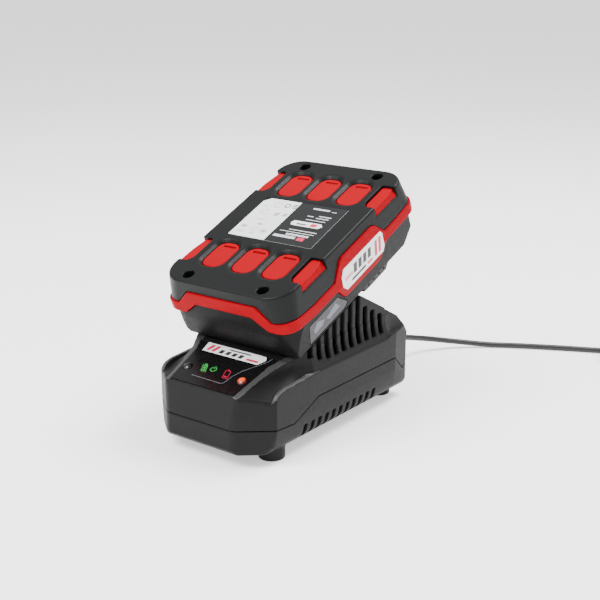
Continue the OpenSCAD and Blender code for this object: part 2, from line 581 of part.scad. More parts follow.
// underside of the bar that the latch springs press on
bar_z = -33.1 + release_travel;
rel_y1 = 43;
module battery_base() color([0.2, 0.2, 0.21]) bat() difference() {
    union() {
        difference() {
            union() {
                intersection() {
                    bform();
                    translate([-60, -80, -60]) cube([120, 160, 60 + band_lo - 0.15]);
                }
                intersection() { bform(0); band_low_zone(0.15);
                    translate([-60, -80, band_lo - 3]) cube([120, 160, 20]); }
            }
            bform(bat_wall);
            difference() { band_zone(0.15); band_low_zone(0.15); }
        }
        difference() {
            rail_shape();
            // hollow for the contact housing
            translate([-16, -43.6, -54.8]) cube([32, 43, 30]);
        }
        intersection() {
            battery_posts(3.8, -39, -14.2);
            bform(1);
        }
        // bar that the latch springs press on, and its two posts
        translate([-33.4, 24.5, bar_z]) cube([66.8, 6, 1.6]);
        for (sx = [-1, 1]) translate([sx * 32.2 - 1.2, 24.5, -39])
            cube([2.4, 6, bar_z + 40.6]);
    }
    translate([-16, -43.6, -54.8]) cube([32, 43, 30]);
    for (i = [-2:2]) translate([i * 6 - 0.9, -47, -54.7]) cube([1.8, 5, 8.4]);
    battery_posts(1.55, -32, -10);
    // opening of the release button and its latch
    translate([-release_x - 0.4, rel_y0 - 0.4, -44]) cube([2 * release_x + 0.8, rel_y1 - rel_y0 + 0.8, 8]);
    translate([-7.4, 4.6, -44]) cube([14.8, 8, 8]);
    // level display
    for (i = [0:2]) translate([0.2 + i * 4.8 - 2, b1 - 6, -22.7]) cube([4.2, 10, 4.4]);
    translate([-9, b1 + 3, -20.5]) rotate([90, 0, 0]) cylinder(h = 12, r = 3.2);
    // recess of the sticker
    sticker(0.36, -3, -38.5, -25.4, -0.4);
}
module rating_label() color([0.9, 0.9, 0.9]) bat()
    translate([0, 0, -0.38]) linear_extrude(0.36) polygon([[-23.8, 20.3], [-27.3, 16.8],
        [-27.3, -16.3], [27.8, -16.3], [27.8, 20.3]]);
module side_badges() color([0.92, 0.92, 0.92]) bat() for (sx = [-1, 1])
    translate([sx * (bw - 0.2 + band_proud - 0.15), 0, 0]) rotate([90, 0, 90])
        linear_extrude(0.4, center = true) polygon(badge_pts);
module base_sticker() color([0.72, 0.72, 0.8]) bat()
    sticker(0.28, 0.02, -38.2, -25.8, 0);
module battery_screws() color([0.3, 0.3, 0.3]) bat() for (sx = [-1, 1], y = [-54.2, 54.4])
    translate([sx * 24.6, y, -12]) mirror([0, 0, 1]) pan_screw(1.5, 16, 2.8, 2);

cell_z = -14.6;
module battery_cells() color([0.2, 0.55, 0.35]) bat() for (i = [-2:2])
    translate([0, i * cell_pitch, cell_z]) rotate([0, 90, 0])
        cylinder(h = cell_l - 0.4, d = cell_d, center = true);
module cell_holders() color([0.12, 0.12, 0.12]) bat() for (sx = [-1, 1]) difference() {
    translate([sx * 28.8 - 3.2, -48.4, -24.6]) cube([6.4, 96.8, 19.8]);
    for (i = [-2:2]) translate([0, i * cell_pitch, cell_z]) rotate([0, 90, 0])
        cylinder(h = 80, r = cell_d / 2 + 0.1, center = true);
}
module cell_links() color([0.8, 0.8, 0.78]) bat() {
    for (i = [-2, 0]) translate([32.4, i * cell_pitch - 4, cell_z - 4])
        cube([0.3, cell_pitch + 8, 8]);
    translate([32.4, 2 * cell_pitch - 4, cell_z - 4]) cube([0.3, 8, 8]);
    for (i = [-1, 1]) translate([-32.7, i * cell_pitch - 4, cell_z - 4])
        cube([0.3, cell_pitch + 8, 8]);
    translate([-32.7, -2 * cell_pitch - 4, cell_z - 4]) cube([0.3, 8, 8]);
}
module protection_board() color([0.05, 0.25, 0.4]) bat()
    translate([-30, -47, -27.4]) cube([60, 69, 1.6]);
module contact_housing() color([0.1, 0.1, 0.1]) bat() difference() {
    translate([-15.8, -43.3, -54.6]) cube([31.6, 30, 16]);
    for (i = [-2:2]) translate([i * 6 - 1.5, -44, -54.9]) cube([3, 14, 9]);
    for (i = [-2:2]) translate([i * 6 - 1.5, -34, -54.9]) cube([3, 4, 20]);
}
module battery_contacts() color([0.85, 0.7, 0.35]) bat() for (i = [-2:2], s = [-1, 1])
    translate([i * 6 + s * 0.9 - 0.25, 0, 0]) {
        translate([0, -43, -54.2]) cube([0.5, 11.4, 7.4]);
        translate([0, -33.6, -50]) cube([0.5, 2, 22.4]);
    }
module level_board() color([0.1, 0.4, 0.2]) bat() translate([-14, 54.6, -24.5]) cube([28, 1.2, 7.8]);
module level_leds() color([0.9, 0.9, 0.85]) bat() {
    for (i = [0:2]) translate([0.2 + i * 4.8 - 1, 55.8, -21.6]) cube([2, 1, 2.2]);
    translate([-11, 55.8, -22.5]) cube([4, 1, 4]);
}
module level_window() color([0.8, 0.85, 0.9]) bat() {
    translate([-3.4, 57.2, -23.4]) cube([16.8, 1.5, 5.8]);
    for (i = [0:2]) translate([0.2 + i * 4.8 - 1.8, 58, -22.5]) cube([3.8, b1 - 0.5 - 58, 4]);
}
module level_button() color([0.25, 0.25, 0.25]) bat() translate([-9, 0, -20.5]) {
    translate([0, b1 + 0.4, 0]) rotate([90, 0, 0]) cylinder(h = 4.6, r = 2.9);
    translate([0, 59, 0]) rotate([90, 0, 0]) cylinder(h = 0.6, r = 3.9);
}
module release_button() color([0.1, 0.1, 0.1]) bat() {
    difference() {
        union() {
            yz([[rel_y0, -36.2], [rel_y0, -46.5], [16.8, -51.4], [20, -52], [39.5, -52],
                [rel_y1, -49], [rel_y1, -36.2]], 2 * release_x);
            translate([-release_x - 1.8, rel_y0 - 1.8, -37.5])
                cube([2 * release_x + 3.6, rel_y1 - rel_y0 + 3.6, 1.4]);
            // latch tongue
            yz([[5, -36.4], [5, -42], [10, -44.6], [13, -44.6], [13, -36.4]], 14);
        }
        // hollow with spring seats
        difference() {
            yz([[rel_y0 + 2, -30], [rel_y0 + 2, -45.5], [18, -49.2], [39, -49.2],
                [rel_y1 - 2, -47.5], [rel_y1 - 2, -30]], 2 * release_x - 4.4);
            for (sx = [-1, 1]) translate([sx * 16, 27.5, -50]) cylinder(h = 6, r = 2);
        }
        // grip ribs on the underside and the rear
        for (i = [0:6]) translate([-60, 19.5 + i * 2.9, -52.6]) cube([120, 1.3, 1.3]);
    }
}
module latch_springs() color("silver") bat() for (sx = [-1, 1]) translate([sx * 16, 27.5, 0])
    tube([for (i = [0:48]) [3 * cos(i * 30), 3 * sin(i * 30), -48.8 + i * 0.38]], 0.4);

lower_housing();
upper_housing();
control_panel();
green_led_lens();
red_led_lens();
led_board();
status_leds();
housing_screws();
main_board();
board_screws();
transformer_core();
transformer_winding();
primary_capacitor();
x_capacitor();
line_choke();
mains_fuse();
heatsink();
switching_transistor();
output_rectifier();
output_capacitors();
terminal_block();
terminal_blades();
mains_leads();
output_leads();
cord_clamp();
clamp_screws();
cord_strain_relief();
power_cord();
cord_coil();
cord_tie();
plug_body();
plug_pins();
battery_cover();
battery_mid_frame();
battery_base();
rating_label();
side_badges();
base_sticker();
battery_screws();
battery_cells();
cell_holders();
cell_links();
protection_board();
contact_housing();
battery_contacts();
level_board();
level_leds();
level_window();
level_button();
release_button();
latch_springs();
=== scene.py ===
import math

import bmesh
import bpy
import numpy as np
from mathutils import Matrix, Vector


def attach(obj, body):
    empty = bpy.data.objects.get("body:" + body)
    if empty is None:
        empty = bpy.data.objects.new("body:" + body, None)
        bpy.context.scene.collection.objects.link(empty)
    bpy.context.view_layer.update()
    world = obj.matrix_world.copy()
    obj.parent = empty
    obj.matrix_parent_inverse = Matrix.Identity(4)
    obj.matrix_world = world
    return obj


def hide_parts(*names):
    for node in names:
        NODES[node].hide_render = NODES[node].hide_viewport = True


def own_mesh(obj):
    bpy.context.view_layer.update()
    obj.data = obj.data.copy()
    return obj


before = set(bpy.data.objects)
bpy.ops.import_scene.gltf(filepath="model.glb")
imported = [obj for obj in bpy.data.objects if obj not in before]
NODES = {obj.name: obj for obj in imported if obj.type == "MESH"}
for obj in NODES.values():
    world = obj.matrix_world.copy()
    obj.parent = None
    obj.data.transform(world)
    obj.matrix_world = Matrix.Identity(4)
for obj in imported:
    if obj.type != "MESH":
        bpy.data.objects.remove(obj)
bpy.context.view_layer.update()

MM = 0.001
COLL = bpy.context.scene.collection

# ------------------------------------------------------------------ camera
cam_data = bpy.data.cameras.new("camera")
cam = bpy.data.objects.new("camera", cam_data)
COLL.objects.link(cam)
back = Vector((0.5775, -0.7628, 0.2912)).normalized()
right = Vector((0, 0, 1)).cross(back).normalized()
up = back.cross(right).normalized()
cam.matrix_world = Matrix((
    (right.x, up.x, back.x, 0.36191), (right.y, up.y, back.y, -0.46288),
    (right.z, up.z, back.z, 0.24620), (0, 0, 0, 1)))
cam_data.lens = 68.064
cam_data.sensor_width = 36
cam_data.clip_start = 0.01
cam_data.clip_end = 50
bpy.context.scene.camera = cam


# ------------------------------------------------------------------ materials
def new_mat(name):
    m = bpy.data.materials.new(name)
    m.use_nodes = True
    nt = m.node_tree
    nt.nodes.clear()
    out = nt.nodes.new("ShaderNodeOutputMaterial")
    bsdf = nt.nodes.new("ShaderNodeBsdfPrincipled")
    nt.links.new(bsdf.outputs[0], out.inputs[0])
    return m, nt, bsdf


def obj_coord(nt):
    return nt.nodes.new("ShaderNodeTexCoord").outputs["Object"]


def noise(nt, scale, detail=3.0, rough=0.55, coord=None):
    n = nt.nodes.new("ShaderNodeTexNoise")
    n.inputs["Scale"].default_value = scale
    n.inputs["Detail"].default_value = detail
    n.inputs["Roughness"].default_value = rough
    nt.links.new(coord or obj_coord(nt), n.inputs["Vector"])
    return n


def ramp(nt, fac, stops):
    r = nt.nodes.new("ShaderNodeValToRGB")
    while len(r.color_ramp.elements) < len(stops):
        r.color_ramp.elements.new(0.5)
    for e, (p, c) in zip(r.color_ramp.elements, stops):
        e.position = p
        e.color = (*c, 1) if len(c) == 3 else c
    nt.links.new(fac, r.inputs[0])
    return r.outputs[0]


def rng(nt, value, a, b, c, d):
    m = nt.nodes.new("ShaderNodeMapRange")
    m.inputs["From Min"].default_value = a
    m.inputs["From Max"].default_value = b
    m.inputs["To Min"].default_value = c
    m.inputs["To Max"].default_value = d
    nt.links.new(value, m.inputs["Value"])
    return m.outputs["Result"]


def bump(nt, bsdf, height, strength, dist, prev=None):
    b = nt.nodes.new("ShaderNodeBump")
    b.inputs["Strength"].default_value = strength
    b.inputs["Distance"].default_value = dist
    nt.links.new(height, b.inputs["Height"])
    if prev is not None:
        nt.links.new(prev, b.inputs["Normal"])
    nt.links.new(b.outputs[0], bsdf.inputs["Normal"])
    return b.outputs[0]


def plastic(name, color, var=0.12, rough=(0.42, 0.56), grain=2600, depth=0.00006,
            strength=0.35, spec=0.5, patch=38):
    """Moulded plastic: spark-eroded grain, slightly uneven gloss and faint tonal drift."""
    m, nt, b = new_mat(name)
    co = obj_coord(nt)
    drift = noise(nt, patch, 3.0, 0.6, co)
    lo = tuple(c * (1 - var) for c in color)
    hi = tuple(min(1, c * (1 + var)) for c in color)
    nt.links.new(ramp(nt, drift.outputs["Fac"], [(0.3, lo), (0.7, hi)]), b.inputs["Base Color"])
    g = noise(nt, grain, 2.0, 0.5, co)
    g2 = noise(nt, grain * 0.31, 2.0, 0.6, co)
    mix = nt.nodes.new("ShaderNodeMath")
    mix.operation = "ADD"
    nt.links.new(g.outputs["Fac"], mix.inputs[0])
    nt.links.new(g2.outputs["Fac"], mix.inputs[1])
    nt.links.new(rng(nt, g2.outputs["Fac"], 0.3, 0.7, rough[0], rough[1]), b.inputs["Roughness"])
    bump(nt, b, mix.outputs[0], strength, depth)
    b.inputs["Specular IOR Level"].default_value = spec
    return m


def gloss(name, color, rough=(0.06, 0.14), coat=0.0, var=0.04, spec=0.5):
    m, nt, b = new_mat(name)
    co = obj_coord(nt)
    d = noise(nt, 60, 3.0, 0.6, co)
    lo = tuple(c * (1 - var) for c in color)
    hi = tuple(min(1, c * (1 + var)) for c in color)
    nt.links.new(ramp(nt, d.outputs["Fac"], [(0.3, lo), (0.7, hi)]), b.inputs["Base Color"])
    s = noise(nt, 420, 2.0, 0.6, co)
    nt.links.new(rng(nt, s.outputs["Fac"], 0.35, 0.65, rough[0], rough[1]), b.inputs["Roughness"])
    w = noise(nt, 90, 2.0, 0.5, co)
    bump(nt, b, w.outputs["Fac"], 0.12, 0.00006)
    b.inputs["Coat Weight"].default_value = coat
    b.inputs["Specular IOR Level"].default_value = spec
    return m


def metal(name, color, rough=(0.22, 0.4), grain=900, stretch=(1, 1, 1)):
    m, nt, b = new_mat(name)
    co = obj_coord(nt)
    mp = nt.nodes.new("ShaderNodeMapping")
    mp.inputs["Scale"].default_value = stretch
    nt.links.new(co, mp.inputs["Vector"])
    n = noise(nt, grain, 3.0, 0.6, mp.outputs[0])
    lo = tuple(c * 0.88 for c in color)
    nt.links.new(ramp(nt, n.outputs["Fac"], [(0.3, lo), (0.7, color)]), b.inputs["Base Color"])
    nt.links.new(rng(nt, n.outputs["Fac"], 0.3, 0.7, rough[0], rough[1]), b.inputs["Roughness"])
    bump(nt, b, n.outputs["Fac"], 0.15, 0.00004)
    b.inputs["Metallic"].default_value = 1.0
    return m


MAT = {
    "housing": plastic("housing_plastic", (0.0086, 0.0086, 0.0089), 0.06, (0.42, 0.54), spec=0.10),
    # painted highlight: a lighter, smoother copy of the housing plastic, put on up-facing edge strips in
    # place of the highlights they catch
    "painted_highlight": plastic("housing_painted_highlight", (0.042, 0.042, 0.043), 0.06, (0.34, 0.44), 1800, 0.00003, 0.2,
                     spec=0.25),
    "cover": plastic("battery_black", (0.0066, 0.0070, 0.0072), 0.06, (0.34, 0.46), 3000, 0.00004, spec=0.11),
    "base": plastic("battery_base_black", (0.0052, 0.0052, 0.0055), 0.06, (0.42, 0.55), spec=0.08),
    "red": plastic("battery_red", (0.28, 0.0003, 0.006), 0.05, (0.32, 0.42), 2400, 0.00003, 0.25, spec=0.02),
    "release": plastic("release_black", (0.010, 0.010, 0.011), 0.06, (0.45, 0.6)),
    "panel": gloss("panel_gloss", (0.003, 0.003, 0.0035), (0.24, 0.32), 0.0, spec=0.25),
    "badge": gloss("badge_white", (0.80, 0.80, 0.82), (0.25, 0.38)),
    "label": gloss("label_white", (0.72, 0.73, 0.74), (0.35, 0.5)),
    "label_dark": gloss("label_dark", (0.008, 0.0085, 0.009), (0.3, 0.42), spec=0.25),
    "print_grey": gloss("print_grey", (0.33, 0.34, 0.36), (0.4, 0.5)),
    "print_pale": gloss("print_pale", (0.50, 0.50, 0.52), (0.4, 0.5)),
    "print_black": gloss("print_black", (0.02, 0.02, 0.022), (0.35, 0.45)),
    "print_red": gloss("print_red", (0.52, 0.01, 0.06), (0.35, 0.45)),
    "icon_green": gloss("icon_green", (0.03, 0.36, 0.06), (0.35, 0.45)),
    "icon_red": gloss("icon_red", (0.38, 0.006, 0.035), (0.35, 0.45)),
    "line_grey": gloss("line_grey", (0.16, 0.16, 0.17), (0.35, 0.45)),
    "sticker": gloss("sticker_grey", (0.022, 0.022, 0.026), (0.4, 0.5), spec=0.3),
    "sticker_print": gloss("sticker_print", (0.13, 0.13, 0.17), (0.35, 0.48), spec=0.2),
    "cord": plastic("cord_rubber", (0.006, 0.006, 0.0065), 0.1, (0.4, 0.52), 1800, 0.00003),
    "plug": plastic("plug_plastic", (0.008, 0.008, 0.0085), 0.08, (0.4, 0.52), spec=0.2),
    "tie": plastic("tie_nylon", (0.03, 0.03, 0.031), 0.1, (0.35, 0.45)),
    "pin": metal("pin_metal", (0.72, 0.71, 0.68), (0.16, 0.28)),
    "zinc": metal("zinc_steel", (0.60, 0.60, 0.61)),
    "blackscrew": metal("screw_black", (0.035, 0.035, 0.036), (0.35, 0.5)),
    "pcb": gloss("circuit_board", (0.012, 0.13, 0.045), (0.25, 0.35), 0.2, 0.15),
    "pcb_blue": gloss("board_blue", (0.008, 0.05, 0.13), (0.25, 0.35), 0.2, 0.15),
    "epoxy": gloss("led_epoxy", (0.78, 0.76, 0.66), (0.12, 0.2)),
    "ferrite": plastic("ferrite", (0.045, 0.045, 0.05), 0.15, (0.5, 0.7), 1500, 0.0001),
    "tape": gloss("winding_tape", (0.16, 0.10, 0.012), (0.25, 0.4), 0.0, 0.12),
    "capsleeve": gloss("capacitor_sleeve", (0.006, 0.009, 0.02), (0.25, 0.4), 0.0),
    "film": gloss("film_capacitor", (0.68, 0.46, 0.04), (0.3, 0.4)),
    "copper": metal("copper_wire", (0.62, 0.26, 0.10), (0.2, 0.35), 1400, (1, 6, 1)),
    "fuse": gloss("fuse_ceramic", (0.62, 0.62, 0.58), (0.3, 0.4)),
    "alu": metal("heatsink_aluminium", (0.62, 0.63, 0.64), (0.3, 0.45), 700, (1, 1, 8)),
    "semi": plastic("semiconductor", (0.018, 0.018, 0.018), 0.1, (0.4, 0.5)),
    "terminal": plastic("terminal_plastic", (0.014, 0.014, 0.015), 0.08, (0.45, 0.55)),
    "contact": metal("contact_metal", (0.74, 0.62, 0.40), (0.18, 0.3), 900, (1, 1, 5)),
    "wire_blue": gloss("wire_blue", (0.02, 0.08, 0.36), (0.3, 0.4)),
    "wire_red": gloss("wire_red", (0.46, 0.015, 0.015), (0.3, 0.4)),
    "wrap": gloss("cell_wrap", (0.03, 0.24, 0.12), (0.2, 0.3), 0.2),
    "nickel": metal("nickel_strip", (0.62, 0.60, 0.56), (0.25, 0.38)),
    "window": gloss("window_clear", (0.62, 0.66, 0.70), (0.06, 0.12), 0.3),
    "rubber": plastic("button_rubber", (0.075, 0.075, 0.078), 0.08, (0.6, 0.72)),
    "spring": metal("spring_steel", (0.58, 0.58, 0.59), (0.2, 0.3)),
}


def lens_mat(name, node, centre, stops, glow, strength, coat):
    """Tinted lens, its colour running outward from the lamp behind its middle."""
    m, nt, b = new_mat(name)
    co = obj_coord(nt)
    mid = NODES[node].matrix_world.inverted() @ Vector(centre)
    d = nt.nodes.new("ShaderNodeVectorMath")
    d.operation = "DISTANCE"
    d.inputs[1].default_value = mid
    nt.links.new(co, d.inputs[0])
    fac = rng(nt, d.outputs["Value"], 0.0, 0.0032, 0.0, 1.0)
    nt.links.new(ramp(nt, fac, stops), b.inputs["Base Color"])
    nt.links.new(ramp(nt, fac, [(0.0, glow), (0.42, glow), (0.68, (0, 0, 0))]),
                 b.inputs["Emission Color"])
    n = noise(nt, 800, 2.0, 0.5, co)
    nt.links.new(rng(nt, n.outputs["Fac"], 0.3, 0.7, 0.1, 0.18), b.inputs["Roughness"])
    bump(nt, b, n.outputs["Fac"], 0.1, 0.00005)
    b.inputs["Coat Weight"].default_value = coat
    b.inputs["Specular IOR Level"].default_value = 0.3
    b.inputs["Emission Strength"].default_value = strength
    return m


MAT["lens_green"] = lens_mat("lens_green", "green_led_lens", (-0.0182, -0.05704, 0.0425),
                             [(0.0, (0.012, 0.016, 0.013)), (1.0, (0.004, 0.006, 0.004))],
                             (0, 0.01, 0), 0.0, 0.15)
MAT["lens_red"] = lens_mat("lens_red", "red_led_lens", (0.0182, -0.05704, 0.0425),
                           [(0.0, (0.8, 0.12, 0.02)), (0.45, (0.7, 0.06, 0.012)),
                            (0.7, (0.16, 0.008, 0.006)), (1.0, (0.05, 0.003, 0.003))],
                           (1.0, 0.13, 0.02), 0.55, 0.1)

NODE_MAT = {
    "lower_housing": "housing", "upper_housing": "housing", "control_panel": "panel",
    "green_led_lens": "lens_green", "red_led_lens": "lens_red", "led_board": "pcb",
    "status_leds": "epoxy", "housing_screws": "zinc", "main_board": "pcb",
    "board_screws": "zinc", "transformer_core": "ferrite", "transformer_winding": "tape",
    "primary_capacitor": "capsleeve", "x_capacitor": "film", "line_choke": "copper",
    "mains_fuse": "fuse", "heatsink": "alu", "switching_transistor": "semi",
    "output_rectifier": "semi", "output_capacitors": "capsleeve", "terminal_block": "terminal",
    "terminal_blades": "contact", "mains_leads": "wire_blue", "output_leads": "wire_red",
    "cord_clamp": "plug", "clamp_screws": "zinc", "cord_strain_relief": "cord",
    "power_cord": "cord", "cord_coil": "cord", "cord_tie": "tie", "plug_body": "plug",
    "plug_pins": "pin", "battery_cover": "cover", "battery_mid_frame": "red",
    "battery_base": "base", "rating_label": "label", "side_badges": "badge",
    "base_sticker": "sticker", "battery_screws": "blackscrew", "battery_cells": "wrap",
    "cell_holders": "terminal", "cell_links": "nickel", "protection_board": "pcb_blue",
    "contact_housing": "terminal", "battery_contacts": "contact", "level_board": "pcb",
    "level_leds": "epoxy", "level_window": "window", "level_button": "rubber",
    "release_button": "release", "latch_springs": "spring",
}
for node, mat in NODE_MAT.items():
    me = NODES[node].data
    me.materials.clear()
    me.materials.append(MAT[mat])


# ------------------------------------------------------------------ mesh helpers
def link(name, me, mat, body, replaces=()):
    o = bpy.data.objects.new(name, me)
    COLL.objects.link(o)
    if not me.materials:
        me.materials.append(MAT[mat] if isinstance(mat, str) else mat)
    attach(o, body)
    if replaces:
        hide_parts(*replaces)
    return o


def cr_curve(p, k):
    """Catmull-Rom line through points, its ends held."""
    p = [np.array(q, float) for q in p]
    out = []
    for i in range(len(p) - 1):
        a, b, c, d = p[max(i - 1, 0)], p[i], p[i + 1], p[min(i + 2, len(p) - 1)]
        for j in range(k):
            t = j / k
            out.append(0.5 * (2 * b + (c - a) * t + (2 * a - 5 * b + 4 * c - d) * t * t
                              + (3 * b - a - 3 * c + d) * t ** 3))
    return out + [p[-1]]


# ------------------------------------------------------------------ mains lead
ROUTE = [(0, 56, 20), (0, 75, 20), (0, 94, 19.8), (0.5, 106, 18), (3.5, 121, 14), (9, 143, 8),
         (22, 160, 4), (37, 172, 2), (54, 182.5, 1.8), (76, 194, 1.8), (99, 205, 1.8),
         (118, 213.5, 1.8), (138.5, 221.2, 2.15)]
TAIL = [(109.8, 262.3, 12.95), (106.2, 257.6, 14), (103.9, 251, 15.8), (103.6, 243, 17.4),
        (103.8, 235, 18.8), (104, 227, 19.9), (104, 218, 20.6), (104, 209, 21.1),
        (106.1, 201.25, 21.5), (111.75, 195.6, 21.8), (119.5, 193.5, 22), (127.25, 195.6, 22.1),
        (132.9, 201.25, 22.2), (135, 209, 22.2), (135, 218, 22.2)]
COIL = np.array([126.0, 243.0])
PITCH, R_OUT, R_IN = 3.6, 25.15, 14.4


def coil_points():
    pts = []
    phi, z = math.radians(-60), 2.15
    step = math.radians(10)

    def put(r):
        pts.append((COIL[0] + r * math.cos(phi), COIL[1] + r * math.sin(phi), z))
    layers = [(3.0, R_OUT, R_IN), (2.75, R_IN, R_OUT), (2.75, R_OUT, R_IN), (2.25, R_IN, R_OUT)]
    for k, (turns, ra, rb) in enumerate(layers):
        n = round(turns * 36)
        for i in range(n):
            if k or i:
                put(ra + (rb - ra) * i / n)
            phi += step
        if k < 3:
            z0 = z
            for i in range(9):
                f = i / 9
                z = z0 + PITCH * (f * f * (3 - 2 * f))
                put(rb)
                phi += step
            z = z0 + PITCH
    return pts


coil = coil_points()
line = cr_curve(ROUTE, 4)[:-1] + [ROUTE[-1]] + [np.array(p) for p in coil] + cr_curve(TAIL, 5)
line = [np.array(p, float) for p in line]
cord_curve = bpy.data.curves.new("mains_cord", "CURVE")
cord_curve.dimensions = "3D"
cord_curve.bevel_depth = 1.8 * MM
cord_curve.bevel_resolution = 3
cord_curve.use_fill_caps = True
sp = cord_curve.splines.new("POLY")
sp.points.add(len(line) - 1)
for q, p in zip(sp.points, line):
    q.co = (p[0] * MM, p[1] * MM, p[2] * MM, 1)
sp.use_smooth = True
cord_curve.materials.append(MAT["cord"])
cord_obj = bpy.data.objects.new("mains_cord", cord_curve)
COLL.objects.link(cord_obj)
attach(cord_obj, "charger")
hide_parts("power_cord", "cord_coil")


# ------------------------------------------------------------------ distance fields, in mm
def inset(p, d):
    out = []
    n = len(p)
    for i in range(n):
        a, b, c = np.array(p[i - 1], float), np.array(p[i], float), np.array(p[(i + 1) % n], float)
        e1, e2 = (b - a) / np.linalg.norm(b - a), (c - b) / np.linalg.norm(c - b)
        n1, n2 = np.array([-e1[1], e1[0]]), np.array([-e2[1], e2[0]])
        out.append(tuple(b + (n1 + n2) * (d / (1 + n1 @ n2))))
    return out


def poly(px, py, pts):
    """Signed distance to an outline, negative inside."""
    d = s = None
    n = len(pts)
    for i in range(n):
        (ax, ay), (bx, by) = pts[i], pts[(i + 1) % n]
        ex, ey = bx - ax, by - ay
        wx, wy = px - ax, py - ay
        t = np.clip((wx * ex + wy * ey) / (ex * ex + ey * ey), 0, 1)
        q = (wx - ex * t) ** 2 + (wy - ey * t) ** 2
        d = q if d is None else np.minimum(d, q)
        c1, c2, c3 = py >= ay, py < by, ex * wy > ey * wx
        flip = (c1 & c2 & c3) | (~c1 & ~c2 & ~c3)
        s = flip if s is None else s ^ flip
    r = np.sqrt(d)
    return np.where(s, -r, r)


def rpoly(px, py, pts, r):
    return poly(px, py, inset(pts, r)) - r


def rmax(a, b, r):
    """Intersection with a rounded edge of radius r."""
    return np.minimum(np.maximum(a, b), -r) + np.hypot(np.maximum(a + r, 0), np.maximum(b + r, 0))


def rmin(a, b, r):
    return -rmax(-a, -b, r)


def cut(a, b, r=0.3):
    return rmax(a, -b, r)


def rbox2(px, py, cx, cy, hx, hy, r):
    qx, qy = np.abs(px - cx) - (hx - r), np.abs(py - cy) - (hy - r)
    return np.minimum(np.maximum(qx, qy), 0) + np.hypot(np.maximum(qx, 0), np.maximum(qy, 0)) - r


def slab(v, lo, hi):
    return np.abs(v - (lo + hi) / 2) - (hi - lo) / 2


CORNERS = [(0, 0, 0), (1, 0, 0), (0, 1, 0), (1, 1, 0), (0, 0, 1), (1, 0, 1), (0, 1, 1), (1, 1, 1)]
EDGES = [(0, 1), (2, 3), (4, 5), (6, 7), (0, 2), (1, 3), (4, 6), (5, 7), (0, 4), (1, 5), (2, 6),
         (3, 7)]


def nets(f, lo, hi, h):
    """Quads on the zero surface of f, by surface nets, each point then moved onto the surface."""
    ax = [np.arange(lo[i] - 2.3 * h, hi[i] + 3 * h, h).astype(np.float32) for i in range(3)]
    shape = tuple(len(a) for a in ax)
    F = np.ascontiguousarray(np.broadcast_to(
        f(ax[0][:, None, None], ax[1][None, :, None], ax[2][None, None, :]), shape),
        dtype=np.float32)
    S = F < 0
    cnt = np.zeros(tuple(n - 1 for n in shape), np.int8)
    for a, b, c in CORNERS:
        cnt += S[a:shape[0] - 1 + a, b:shape[1] - 1 + b, c:shape[2] - 1 + c]
    act = (cnt > 0) & (cnt < 8)
    ijk = np.argwhere(act)
    idx = np.full(act.shape, -1, np.int32)
    idx[act] = np.arange(len(ijk))
    C = np.stack([F[ijk[:, 0] + a, ijk[:, 1] + b, ijk[:, 2] + c] for a, b, c in CORNERS], 1)
    acc, num = np.zeros((len(ijk), 3)), np.zeros(len(ijk))
    for a, b in EDGES:
        fa, fb = C[:, a], C[:, b]
        m = (fa < 0) != (fb < 0)
        t = np.where(m, fa / np.where(m, fa - fb, 1), 0)
        pa, pb = np.array(CORNERS[a], float), np.array(CORNERS[b], float)
        acc += np.where(m[:, None], pa + t[:, None] * (pb - pa), 0)
        num += m
    V = (ijk + acc / num[:, None]) * h + np.array([a[0] for a in ax], float)
    quads = []
    n0, n1, n2 = shape
    for axis in range(3):
        if axis == 0:
            A, B = S[:-1, 1:-1, 1:-1], S[1:, 1:-1, 1:-1]
        elif axis == 1:
            A, B = S[1:-1, :-1, 1:-1], S[1:-1, 1:, 1:-1]
        else:
            A, B = S[1:-1, 1:-1, :-1], S[1:-1, 1:-1, 1:]
        e = np.argwhere(A != B)
        inside = A[e[:, 0], e[:, 1], e[:, 2]]
        e = e + np.array([(0, 1, 1), (1, 0, 1), (1, 1, 0)][axis])
        i, j, k = e[:, 0], e[:, 1], e[:, 2]
        if axis == 0:
            q = [idx[i, j - 1, k - 1], idx[i, j, k - 1], idx[i, j, k], idx[i, j - 1, k]]
        elif axis == 1:
            q = [idx[i - 1, j, k - 1], idx[i - 1, j, k], idx[i, j, k], idx[i, j, k - 1]]
        else:
            q = [idx[i - 1, j - 1, k], idx[i, j - 1, k], idx[i, j, k], idx[i - 1, j, k]]
        q = np.stack(q, 1)
        q[~inside] = q[~inside][:, ::-1]
        quads.append(q)
    quads = np.concatenate(quads)
    home = V.copy()
    for _ in range(2):
        V = project(f, V, h)
    away = V - home
    far = np.linalg.norm(away, axis=1)
    V = home + away * np.minimum(1, 0.9 * h / np.maximum(far, 1e-9))[:, None]
    return V, quads


def grad(f, V, e=0.03):
    g = np.empty_like(V)
    for a in range(3):
        d = np.zeros(3)
        d[a] = e
        p, q = V + d, V - d
        g[:, a] = f(p[:, 0], p[:, 1], p[:, 2]) - f(q[:, 0], q[:, 1], q[:, 2])
    return g / (2 * e)


def project(f, V, h):
    v = f(V[:, 0], V[:, 1], V[:, 2])
    g = grad(f, V)
    n2 = (g * g).sum(1)
    s = np.clip(v / np.maximum(n2, 0.2), -0.5 * h, 0.5 * h)
    return V - g * s[:, None]


TILT = math.radians(22.4)
BC, BS = math.cos(TILT), math.sin(TILT)


def bat_to_world(V):
    x, u, n = V[:, 0], V[:, 1], V[:, 2]
    return np.stack([x, 2.3 + u * BC - n * BS, 109.2 + u * BS + n * BC], 1)


def bat_local(y, z):
    return (y - 2.3) * BC + (z - 109.2) * BS, -(y - 2.3) * BS + (z - 109.2) * BC


PT = math.radians(20.35)
PC, PS = math.cos(PT), math.sin(PT)


def pan_local(y, z):
    return (y + 68.1) * PC + (z - 38) * PS, -(y + 68.1) * PS + (z - 38) * PC


